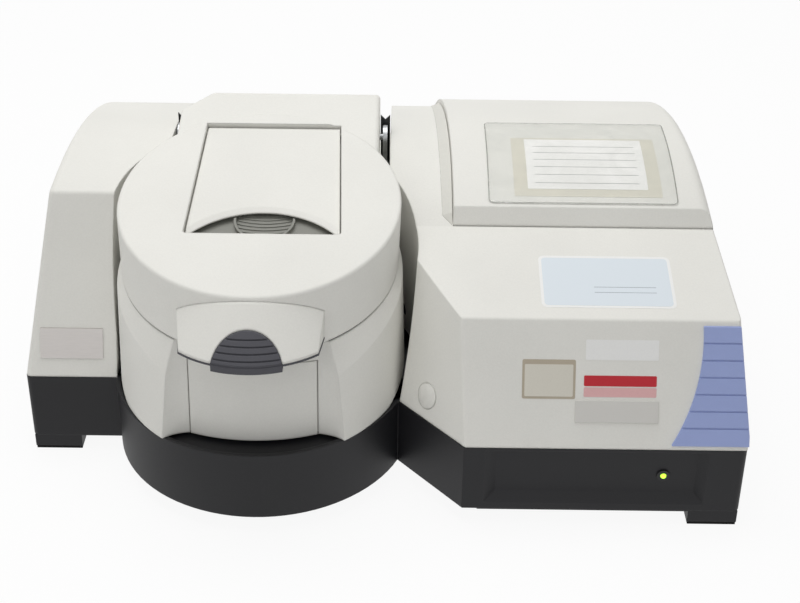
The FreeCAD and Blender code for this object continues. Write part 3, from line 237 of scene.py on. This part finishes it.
brushed_along_x, cloudy = (0.04, 1, 1), (1, 1, 1)
brushed_plate = worked_metal("brushed_badge_plate", "#B9B5B2", 0.38, brushed_along_x, 0.5, 0.12)
zinc_steel = worked_metal("zinc_plated_steel", "#B4B6B8", 0.35, cloudy, 3.0, 0.12)
cast_alloy = worked_metal("machined_casting", "#A9ABAD", 0.45, cloudy, 1.4, 0.12)
polished_alloy = worked_metal("polished_mirror_alloy", "#D9DBDE", 0.12, cloudy, 5.0, 0.05)
galvanised = worked_metal("galvanised_sheet", "#A7ABAE", 0.4, cloudy, 9.0, 0.15)
print("materials with the metals:", len(bpy.data.materials))

# %% [markdown]
# ## Quartz
#
# The windows and the lamps inside are fused quartz. It is clear, with an index of 1.46, and
# a little dust makes it hazy in places. Dust could be a layer of its own, but a drift in
# the roughness is enough at this distance.


# %% Quartz
def clear_glass(name, colour, roughness, dust_mm):
    """Clear glass whose roughness drifts with the dust on it."""
    material, shader = new_finish(
        name, {"Base Color": linear(colour), "IOR": 1.46, "Transmission Weight": 1.0}
    )
    place = add_node(material, "ShaderNodeTexCoord").outputs["Object"]
    dust = add_node(
        material, "ShaderNodeTexNoise", values={"Scale": 1.0 / (dust_mm * MM)}, links={"Vector": place}
    )
    haze = add_node(
        material,
        "ShaderNodeMapRange",
        values={"To Min": roughness, "To Max": roughness + 0.08},
        links={"Value": dust.outputs["Fac"]},
    )
    wire(material, shader, Roughness=haze.outputs[0])
    return material


fused_quartz = clear_glass("fused_quartz", "#F4F8FA", 0.02, 8.0)
print("glass finish:", fused_quartz.name)

# %% [markdown]
# ## Circuit board
#
# A board is covered with green solder mask, and it looks paler where a copper track lies
# under it. The tracks could be drawn one by one, but the board is hidden in the housing, so
# a brick pattern with a cell of 12 mm stands for them.

# %% Circuit board
track_cell_mm = 12.0


def solder_mask(name):
    """Green lacquer with paler lines for the tracks under it."""
    material, shader = new_finish(name, {"Roughness": 0.35})
    place = add_node(material, "ShaderNodeTexCoord").outputs["Object"]
    tracks = add_node(
        material,
        "ShaderNodeTexBrick",
        values={
            "Scale": 1.0 / (track_cell_mm * MM),
            "Mortar Size": 0.03,
            "Color1": linear("#1C5A36"),
            "Color2": linear("#17492C"),
            "Mortar": linear("#3A8A5C"),
        },
        links={"Vector": place},
    )
    wire(material, shader, Base_Color=tracks.outputs["Color"])
    return material


board_green = solder_mask("green_solder_mask")
print("board finish:", board_green.name)

# %% [markdown]
# ## Signal lamp
#
# The status lamp is a green moulded lens that is lit from behind. A lamp object could
# stand behind it, but a lens this small only has to glow, so its shader gives the light. Its
# colour is paler where it faces the eye and deeper green towards its rim: a painted glow
# from the light behind it.


# %% Signal lamp
def lit_lens(name):
    """A glowing lens with a painted glow: paler where it faces the eye."""
    material, shader = new_finish(
        name,
        {"Roughness": 0.2, "Emission Color": linear("#B8FF3C"), "Emission Strength": 1.6},
    )
    # The mix by facing paints the glow: pale where the lens faces the eye, deep green at its rim.
    facing = add_node(material, "ShaderNodeLayerWeight", values={"Blend": 0.35})
    depth = add_node(
        material,
        "ShaderNodeMix",
        {"data_type": "RGBA"},
        {"A": linear("#C9F05A"), "B": linear("#2E7A1C")},
        {"Factor": facing.outputs["Facing"]},
    )
    wire(material, shader, Base_Color=depth.outputs["Result"])
    return material


led_green = lit_lens("lit_green_lens")
print("materials with glass, board and lamp:", len(bpy.data.materials))

# %% [markdown]
# ## Giving each piece its finish
#
# The record names a slot for every solid. Each slot gets one finish here. The type plate
# shares a slot with the badge and is told apart, because the photo shows it in another
# shade.

# %% Assign finishes
slot_finish = {
    "housing": housing_paint,
    "base": base_plastic,
    "scoop": recess_plastic,
    "foot_rubber": foot_rubber,
    "grip": grip_plastic,
    "accent": accent_plastic,
    "plate": brushed_plate,
    "black_trim": lip_plastic,
    "led": led_green,
    "hinge_metal": zinc_steel,
    "seal_foam": seal_foam,
    "liner": liner_paint,
    "cast_metal": cast_alloy,
    "optics": polished_alloy,
    "sheet_metal": galvanised,
    "quartz": fused_quartz,
    "circuit_board": board_green,
}
for entry in frame["record"]["subparts"]:
    piece = frame["nodes"][entry["node"]]
    piece.data.materials.clear()
    piece.data.materials.append(slot_finish[entry["material_slot"]])
frame["nodes"]["model_plate"].data.materials[0] = plate_plastic

# %% [markdown]
# ## Places on the instrument
#
# Depths are given in millimetres from the foot of the right front, as in the solid model,
# but the frame has its origin in the middle of the whole depth. One value moves a depth
# from the one to the other. The right front leans back from its foot to an edge, and the
# upper face rises gently from there to the brow, where the lamp cover starts.

# %% Slopes of the right housing
front_end_y, rear_end_y = -22.5, 548.0
y_middle = (rear_end_y + front_end_y) / 2
foot_z = 80
edge_y, edge_z = 43, 180
brow_y, brow_z = 149.0, 206.0
front_slope = Vector((0, edge_y, edge_z - foot_z)).normalized()
upper_slope = Vector((0, brow_y - edge_y, brow_z - edge_z)).normalized()
front_face = (Vector((0, -y_middle, foot_z)) * MM, front_slope)
upper_face = (Vector((0, edge_y - y_middle, edge_z)) * MM, upper_slope)
print("front leans back by degrees:", round(math.degrees(math.atan2(front_slope.y, front_slope.z)), 1))

# %% [markdown]
# ## Paper and vinyl
#
# Labels are uncoated paper or printed vinyl, with a soft cloudy fibre about a millimetre
# across. Two of the sheets have plain ruled lines. The lines could be thin strips of mesh,
# but in the shader they stay sharp and lie flat: the depth is divided by the pitch of the
# rows, and a point is inked where that is close enough to a whole number.


# %% Paper finish
def paper_finish(name, colour, roughness=0.6, fibre_mm=1.2):
    """Plain paper or vinyl with a faint fibre."""
    material, shader = new_finish(name, {"Roughness": roughness, "Specular IOR Level": 0.3})
    place = add_node(material, "ShaderNodeTexCoord").outputs["Object"]
    fibre = add_node(
        material,
        "ShaderNodeTexNoise",
        values={"Scale": 1.0 / (fibre_mm * MM), "Detail": 5.0},
        links={"Vector": place},
    )
    wire(material, shader, Base_Color=uneven_tone(material, colour, fibre.outputs["Fac"], 0.95, 1.03))
    return material


print("paper helper ready")


# %% Ruled paper
def ruled_paper(name, paper, ink, first_y, pitch, count, line, left, right):
    """Paper with count ruled lines from depth first_y on, all in millimetres."""
    material, shader = new_finish(name, {"Roughness": 0.6, "Specular IOR Level": 0.3})
    place = add_node(material, "ShaderNodeTexCoord").outputs["Object"]
    split = add_node(material, "ShaderNodeSeparateXYZ", links={"Vector": place})
    row = add_node(
        material,
        "ShaderNodeMath",
        {"operation": "MULTIPLY_ADD"},
        {1: 1.0 / (pitch * MM), 2: -(first_y - y_middle) / pitch},
        {0: split.outputs["Y"]},
    ).outputs[0]
    nearest = add_node(material, "ShaderNodeMath", {"operation": "ROUND"}, links={0: row})
    on_line = add_node(
        material,
        "ShaderNodeMath",
        {"operation": "COMPARE"},
        {2: line / pitch / 2},
        {0: row, 1: nearest.outputs[0]},
    )
    in_rows = add_node(
        material,
        "ShaderNodeMath",
        {"operation": "COMPARE"},
        {1: (count - 1) / 2, 2: count / 2},
        {0: row},
    )
    across = add_node(
        material,
        "ShaderNodeMath",
        {"operation": "COMPARE"},
        {1: (left + right) / 2 * MM, 2: (right - left) / 2 * MM},
        {0: split.outputs["X"]},
    )
    inside = add_node(
        material,
        "ShaderNodeMath",
        {"operation": "MULTIPLY"},
        links={0: on_line.outputs[0], 1: in_rows.outputs[0]},
    )
    inked = add_node(
        material,
        "ShaderNodeMath",
        {"operation": "MULTIPLY"},
        links={0: inside.outputs[0], 1: across.outputs[0]},
    )
    colour = add_node(
        material,
        "ShaderNodeMix",
        {"data_type": "RGBA"},
        {"A": linear(paper), "B": linear(ink)},
        {"Factor": inked.outputs[0]},
    )
    wire(material, shader, Base_Color=colour.outputs["Result"])
    return material


white_paper = paper_finish("white_label_paper", "#F2F2F0")
blue_paper = ruled_paper("ruled_blue_label", "#DEE6EC", "#8D929B", 72.8, 6.0, 2, 0.5, 182, 234)
tan_paper = paper_finish("tan_label_border", "#B9AE9C")
cream_paper = paper_finish("cream_card", "#DCD8CC")
# Vinyl has a smoother face than paper, so it shines a little more.
red_vinyl = paper_finish("red_label_vinyl", "#C22B36", 0.4)
rose_vinyl = paper_finish("rose_label_vinyl", "#E3B4B4", 0.4)
print("materials with the papers:", len(bpy.data.materials))

# %% [markdown]
# ## Labels on the right housing
#
# The labels are stuck on the flat faces. A picture on the housing could show them, but a
# real thin sheet catches the light on its edge. Each is a square grid whose corners are
# bevelled, extruded by its thickness and laid on its face with a matrix. Where one label
# lies on another, a larger lift keeps them apart.


# %% Sheet helpers
def new_object(name, bm, finish):
    """Turns a bmesh into an object with one finish."""
    mesh = bpy.data.meshes.new(name)
    bm.to_mesh(mesh)
    bm.free()
    mesh.materials.append(finish)
    made = bpy.data.objects.new(name, mesh)
    bpy.context.collection.objects.link(made)
    return made


def finish_piece(name, bm, finish, body):
    """Points the faces outwards and lets the new piece ride on a body."""
    bmesh.ops.recalc_face_normals(bm, faces=bm.faces)
    piece = new_object(name, bm, finish)
    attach(piece, body)
    return piece


def extrude(bm, faces, offset=(0, 0, 0)):
    """Extrudes faces, moves the new ones by offset and gives them back."""
    made = bmesh.ops.extrude_face_region(bm, geom=faces)["geom"]
    bmesh.ops.translate(bm, vec=offset, verts=[g for g in made if isinstance(g, bmesh.types.BMVert)])
    return [g for g in made if isinstance(g, bmesh.types.BMFace)]


def rounded_sheet(width, depth, corner, segments):
    """A flat sheet round the origin, in millimetres, with rounded corners."""
    bm = bmesh.new()
    bmesh.ops.create_grid(bm, x_segments=1, y_segments=1, size=0.5)
    bmesh.ops.scale(bm, vec=(width * MM, depth * MM, 1), verts=bm.verts)
    bmesh.ops.bevel(
        bm,
        geom=list(bm.verts),
        offset=corner * MM,
        affect="VERTICES",
        segments=segments,
        profile=0.5,
        material=-1,
    )
    return bm


print("sheet helpers ready")

# %% Lay flat labels
face_lift, card_lift, field_lift = 0.05, 0.2, 0.18
label_thickness, field_thickness = 0.12, 0.1


def thin_sheet(name, face, place, size, corner, finish, lift=face_lift, thickness=label_thickness):
    """A label in millimetres: place is its lower left corner, along x and up the face."""
    (foot, up), (x, rise), (width, height) = face, place, size
    bm = rounded_sheet(width, height, corner, segments=5)
    extrude(bm, list(bm.faces), (0, 0, thickness * MM))
    side = Vector((1, 0, 0))
    normal = side.cross(up)
    lower_left = foot + side * x * MM + up * rise * MM
    middle = lower_left + side * width * MM / 2 + up * height * MM / 2 + normal * lift * MM
    turn = Matrix((side, up, normal)).transposed().to_4x4()
    bmesh.ops.transform(bm, matrix=Matrix.Translation(middle) @ turn, verts=bm.verts)
    return finish_piece(name, bm, finish, "chassis")


thin_sheet("calibration_label_border", front_face, (121, 42), (44, 33), 1.5, tan_paper)
thin_sheet("calibration_label_field", front_face, (123, 44), (40, 27), 1.0, cream_paper, card_lift)
thin_sheet("upper_white_label", front_face, (173, 75), (60, 17), 1.0, white_paper)
thin_sheet("red_topped_label", front_face, (172, 53), (60, 9), 1.0, red_vinyl)
thin_sheet("red_topped_label_foot", front_face, (172, 44), (60, 8), 1.0, rose_vinyl)
thin_sheet("broad_label_border", upper_face, (137, 13), (112, 61), 5.0, white_paper)
thin_sheet(
    "broad_label_field",
    upper_face,
    (139.5, 15.5),
    (107, 56),
    3.5,
    blue_paper,
    field_lift,
    field_thickness,
)

# %% [markdown]
# ## Film for the pouch
#
# A clear vinyl pouch lies on the lamp cover, with its edge welded all round. Transmission
# would bend the light and needs a thick body, so the film has a low Alpha instead: it
# hides a small share of what is under it, more on its wrinkles, and shines on them. The
# weld is the same film, pressed together, so it hides more.


# %% Film
def film(name, colour, cover_share, wrinkle_mm):
    """Thin film that hides cover_share of what lies under it."""
    material, shader = new_finish(
        name, {"Base Color": linear(colour), "Roughness": 0.18, "Specular IOR Level": 0.7}
    )
    place = add_node(material, "ShaderNodeTexCoord").outputs["Object"]
    folds = add_node(
        material,
        "ShaderNodeTexNoise",
        values={"Scale": 1.0 / (wrinkle_mm * MM), "Detail": 2.0, "Distortion": 1.5},
        links={"Vector": place},
    )
    share = add_node(
        material,
        "ShaderNodeMapRange",
        values={"From Min": 0.3, "From Max": 0.7, "To Min": cover_share * 0.6, "To Max": cover_share},
        links={"Value": folds.outputs["Fac"]},
    )
    bump = add_node(
        material,
        "ShaderNodeBump",
        values={"Strength": 0.5, "Distance": 1.5 * MM},
        links={"Height": folds.outputs["Fac"]},
    )
    wire(material, shader, Alpha=share.outputs[0], Normal=bump.outputs[0])
    return material


clear_vinyl = film("clear_vinyl_film", "#E2E4DE", 0.16, 45.0)
weld_vinyl = film("welded_vinyl_edge", "#A2A49C", 0.75, 20.0)
backing = paper_finish("tan_backing_sheet", "#E0DCCD")
card_stock = ruled_paper("ruled_index_card", "#FBFAF8", "#77777A", 183, 10.3, 6, 0.55, 138, 230)
print("pouch finishes ready")

# %% [markdown]
# ## The pouch on the lamp cover
#
# A backing sheet and a ruled card lie in the pouch, and all of them follow the curved
# cover. A cloth simulation could drape them, but paper on a gentle arch only bends with
# it. So each sheet is cut into strips, and a ray goes down from every vertex and sets it
# where the ray lands, plus its place in the stack.


# %% Find a surface
def surface_of(node):
    """The triangles of a solid, ready for rays."""
    solid = frame["nodes"][node]
    return BVHTree.FromPolygons(
        [solid.matrix_world @ v.co for v in solid.data.vertices],
        [tuple(p.vertices) for p in solid.data.polygons],
    )


clear_of_all = 1.0
lamp_cover_surface = surface_of("lamp_cover")


def height_of(surface, x, y):
    """The height where a ray from above meets a surface, in metres."""
    return surface.ray_cast(Vector((x, y, clear_of_all)), Vector((0, 0, -1)))[0].z


print("lamp cover at x 180 mm is mm high:", round(height_of(lamp_cover_surface, 0.18, 0) / MM, 1))

# %% Drop sheets onto the curved cover
strips = 14


def draped_sheet(name, x_range, y_range, corner, lift, thickness, finish, rim=0.0):
    """A sheet in millimetres that follows the cover under it, or only its rim."""
    width, depth = x_range[1] - x_range[0], y_range[1] - y_range[0]
    bm = rounded_sheet(width, depth, corner, segments=3)
    middle = Vector((sum(x_range) / 2, sum(y_range) / 2 - y_middle, 0)) * MM
    bmesh.ops.translate(bm, vec=middle, verts=bm.verts)
    if rim:
        inner = list(bm.faces)
        bmesh.ops.inset_region(bm, faces=inner, thickness=rim * MM, use_boundary=True)
        bmesh.ops.delete(bm, geom=inner, context="FACES_ONLY")
    for i in range(1, strips):
        y = (y_range[0] + depth * i / strips - y_middle) * MM
        geometry = bm.verts[:] + bm.edges[:] + bm.faces[:]
        bmesh.ops.bisect_plane(bm, geom=geometry, plane_co=(0, y, 0), plane_no=(0, 1, 0))
    for vert in bm.verts:
        vert.co.z = height_of(lamp_cover_surface, vert.co.x, vert.co.y) + lift * MM
    extrude(bm, list(bm.faces), (0, 0, thickness * MM))
    return finish_piece(name, bm, finish, "lamp_hatch")


pouch_x, pouch_y, pouch_corner = (96, 262), (160, 282), 4.0
draped_sheet("pouch_backing", (119, 249), (168, 250), 1.0, 0.15, 0.15, backing)
draped_sheet("ruled_card", (131, 237), (176, 247), 1.0, 0.45, 0.15, card_stock)
draped_sheet("clear_pouch", pouch_x, pouch_y, pouch_corner, 0.8, 0.25, clear_vinyl)
draped_sheet("pouch_weld", pouch_x, pouch_y, pouch_corner, 1.1, 0.1, weld_vinyl, rim=0.9)
print("pouch laid on the cover")

# %% [markdown]
# ## The bevel beside the lamp cover
#
# The photo shows a shallow bevel on the roof along the left wall of the lamp cover, with a
# mitred front end. It is laid as a low wedge whose foot follows the roof. A straight bar
# would sink into the arch or float over it. So a triangle is extruded step by step along
# the roof, and after each step its corners are set where a ray finds the roof. The first
# triangle is nearly flat, which makes the mitre.

# %% Roof bevel
bevel_start_y, bevel_end_y, bevel_step = brow_y + 1.5, 468.0, 10.0
bevel_width, bevel_rise, wall_gap, roof_gap = 8.5, 3.4, 0.6, 0.03
tip_share = 0.06
wall_start_x, wall_taper, wall_lean = 65.0, 0.028, 0.05
right_cover_surface = surface_of("right_cover")


def bevel_corners(y, share=1.0):
    """Foot, ridge and inner foot of the wedge at a depth, at a share of its full size."""
    wall_x = wall_start_x - wall_taper * (y - brow_y)
    foot_x = wall_x - wall_gap - bevel_width * share
    depth = (y - y_middle) * MM
    ground = height_of(right_cover_surface, foot_x * MM, depth) / MM
    wall_x += wall_lean * (ground - brow_z) - wall_gap
    low, high = ground + roof_gap, ground + bevel_rise * share
    return [Vector((x * MM, depth, z * MM)) for x, z in [(foot_x, low), (wall_x, high), (wall_x, low)]]


bevel_depths = [bevel_start_y + bevel_width]
while bevel_depths[-1] < bevel_end_y:
    bevel_depths.append(bevel_depths[-1] + bevel_step)
bm = bmesh.new()
tip = bm.faces.new([bm.verts.new(corner) for corner in bevel_corners(bevel_start_y, tip_share)])
section = tip
for y in bevel_depths:
    moved = extrude(bm, [section])[0]
    if section is not tip:
        bm.faces.remove(section)
    section = moved
    for vert, corner in zip(section.verts, bevel_corners(y)):
        vert.co = corner
# Edges 2.2 mm round drew dark creases on so narrow a strip, so its paint has finer ones.
# Its colour is a darker copy of the housing paint: painted shade on the bevel strip.
shaded_bevel_paint = moulded_plastic("housing_paint_painted_shade", "#D6D5CE", 0.55, "spatter", 0.55, 0.3)
finish_piece("roof_bevel", bm, shaded_bevel_paint, "chassis")
print("roof bevel rows:", len(bevel_depths) + 1)

# %% [markdown]
# ## Painted shadow beside the hinge
#
# The photo shows a dark notch on each side of the lid's hump, where the gap lies in shade. A
# thin black plate stands there behind the hinge bracket as painted shadow for that gap. A box
# with a cut would do, but an outline with a shallow V at its top needs only one extrude.

# %% Painted shadow plates beside the hinge
shadow_plate_foot_z, shadow_plate_notch_z, shadow_plate_arm_z = 176.3, 246.0, 250.5
# The depth is the frame's own, from the middle of the instrument.
shadow_plate_front, shadow_plate_thickness = 17.2, 1.5


def gap_shadow_plate(name, x_left, x_right):
    """A notched black plate of painted shadow between two places across the instrument, in
    millimetres.
    """
    outline = [
        (x_left, shadow_plate_foot_z),
        (x_right, shadow_plate_foot_z),
        (x_right, shadow_plate_arm_z),
        ((x_left + x_right) / 2, shadow_plate_notch_z),
        (x_left, shadow_plate_arm_z),
    ]
    bm = bmesh.new()
    front = bm.faces.new([bm.verts.new((x * MM, shadow_plate_front * MM, z * MM)) for x, z in outline])
    extrude(bm, [front], (0, shadow_plate_thickness * MM, 0))
    # The black trim finish here is painted shadow for the gap.
    return finish_piece(name, bm, lip_plastic, "chassis")


gap_shadow_plate("hinge_gap_shadow_right", -0.4, 8.4)
gap_shadow_plate("hinge_gap_shadow_left", -189.5, -182.6)

# %% [markdown]
# ## Rear screws
#
# The rear of the covers isn't seen in the photo, so four small socket screws are guessed
# there. Each is a disc that is extruded into a head, inset and sunk for the socket, and
# bevelled at its rim. They could be set by hand, but a ray from behind finds the cover and
# the way it faces, so that each head sits flat.

# %% Rear screws
head_radius, head_height, head_bevel = 3.4, 1.4, 0.5
socket_wall, socket_depth = 1.5, 1.0
screw_z = 87


def socket_screw(name, x, surface):
    """A small socket screw on the rear of a cover, at x in millimetres."""
    behind = Vector((x * MM, clear_of_all, screw_z * MM))
    place, normal = surface.ray_cast(behind, Vector((0, -1, 0)))[:2]
    bm = bmesh.new()
    bmesh.ops.create_circle(bm, cap_ends=True, segments=24, radius=head_radius * MM)
    crown = extrude(bm, list(bm.faces), (0, 0, head_height * MM))
    rim = list(crown[0].edges)
    bmesh.ops.inset_region(bm, faces=crown, thickness=socket_wall * MM)
    extrude(bm, crown, (0, 0, -socket_depth * MM))
    bmesh.ops.delete(bm, geom=crown, context="FACES_ONLY")
    bmesh.ops.bevel(
        bm,
        geom=rim,
        offset=head_bevel * MM,
        affect="EDGES",
        segments=2,
        profile=0.5,
        material=-1,
    )
    turn = normal.to_track_quat("Z", "Y").to_matrix().to_4x4()
    bmesh.ops.transform(bm, matrix=Matrix.Translation(place) @ turn, verts=bm.verts)
    return finish_piece(name, bm, zinc_steel, "chassis")


left_cover_surface = surface_of("left_cover")
screw_places = [
    (-292, left_cover_surface),
    (-208, left_cover_surface),
    (28, right_cover_surface),
    (286, right_cover_surface),
]
for number, (x, surface) in enumerate(screw_places, 1):
    socket_screw(f"rear_screw_{number}", x, surface)
print("rear screws:", len(screw_places))

# %% [markdown]
# ## Camera
#
# The photo was taken from in front and above, looking down by 30 degrees with a long lens.
# The camera could be set by eye, but its place, turn and lens come from a fit of the
# instrument's outline to the photo, so that the render can be laid over it. The shift moves
# the view without changing the perspective.

# %% Camera
camera_place = Vector((19.0, -991.2 - y_middle, 848.5)) * MM
camera_tilt, camera_roll = 60.0, 0.716
camera_data = bpy.data.cameras.new("camera")
camera_data.lens = 67.5
camera_data.sensor_width = 36.0
camera_data.shift_y = -0.075
camera = bpy.data.objects.new("camera", camera_data)
bpy.context.collection.objects.link(camera)
camera.location = camera_place
pitch = Matrix.Rotation(math.radians(camera_tilt), 4, "X")
roll = Matrix.Rotation(math.radians(camera_roll), 4, "Z")
camera.rotation_mode = "QUATERNION"
camera.rotation_quaternion = (pitch @ roll).to_quaternion()
bpy.context.scene.camera = camera
print("camera at", [round(v, 3) for v in camera.location])

# %% [markdown]
# ## White table
#
# The instrument stands on a plain white table. A white floor alone would look grey away
# from the lamps. So where it is seen, straight or through a shiny or clear surface, most
# of it is plain white light, and the rest keeps the shadow. Elsewhere it bounces light as
# matt paint does.


# %% Table
def seen_rays(owner):
    """One for rays that come from the eye, straight or through a shiny or clear surface."""
    path = add_node(owner, "ShaderNodeLightPath")
    mirrored = add_node(
        owner,
        "ShaderNodeMath",
        {"operation": "MAXIMUM"},
        links={0: path.outputs["Is Glossy Ray"], 1: path.outputs["Is Transmission Ray"]},
    )
    return add_node(
        owner,
        "ShaderNodeMath",
        {"operation": "MAXIMUM"},
        links={0: path.outputs["Is Camera Ray"], 1: mirrored.outputs[0]},
    ).outputs[0]


table_reach, white_share = 6.0, 0.92
table_finish, table_shader = new_finish(
    "white_table", {"Base Color": linear("#F7F7F7"), "Roughness": 0.9}
)
seen = add_node(
    table_finish,
    "ShaderNodeMath",
    {"operation": "MULTIPLY"},
    {1: white_share},
    {0: seen_rays(table_finish)},
)
glow = add_node(table_finish, "ShaderNodeEmission", values={"Strength": 1.0})
blend = add_node(
    table_finish,
    "ShaderNodeMixShader",
    links={"Fac": seen.outputs[0], 1: table_shader.outputs[0], 2: glow.outputs[0]},
)
wire(table_finish, table_finish.node_tree.nodes["Material Output"], Surface=blend.outputs[0])
bm = bmesh.new()
bmesh.ops.create_grid(bm, x_segments=1, y_segments=1, size=table_reach)
floor = new_object("table_top", bm, table_finish)
print("table is metres wide:", 2 * table_reach)

# %% [markdown]
# ## Air and lamps
#
# Soft light comes from all round at less than half strength, while the air itself is seen
# as plain white. A broad lamp overhead makes the tops bright and the front faces a step
# darker, as in the photo, and a weaker fill opens the shadows in front.

# %% Air
air_strength = 0.42
world = bpy.data.worlds.new("studio_air")
world.use_nodes = True
bpy.context.scene.world = world
level = add_node(
    world,
    "ShaderNodeMapRange",
    values={"To Min": air_strength, "To Max": 1.0},
    links={"Value": seen_rays(world)},
)
background = world.node_tree.nodes["Background"]
background.inputs["Color"].default_value = (1, 1, 1, 1)
wire(world, background, Strength=level.outputs[0])
print("air strength:", air_strength)

# %% Lamps
lamp_aim = Vector((0, 0, 0.1))


def soft_box(name, place, size, power):
    """A square lamp aimed at the instrument; size in metres, power in watts."""
    lamp = bpy.data.lights.new(name, "AREA")
    lamp.shape = "SQUARE"
    lamp.size = size
    lamp.energy = power
    holder = bpy.data.objects.new(name, lamp)
    bpy.context.collection.objects.link(holder)
    holder.location = place
    holder.rotation_mode = "QUATERNION"
    holder.rotation_quaternion = (lamp_aim - Vector(place)).to_track_quat("-Z", "Y")
    return holder


soft_box("overhead_light", (-0.25, 0.2, 2.0), 1.4, 21.8)
soft_box("front_fill", (-0.9, -2.0, 1.2), 1.2, 3.4)
bpy.context.scene.view_settings.view_transform = "Standard"
print("lamps:", len(bpy.data.lights))
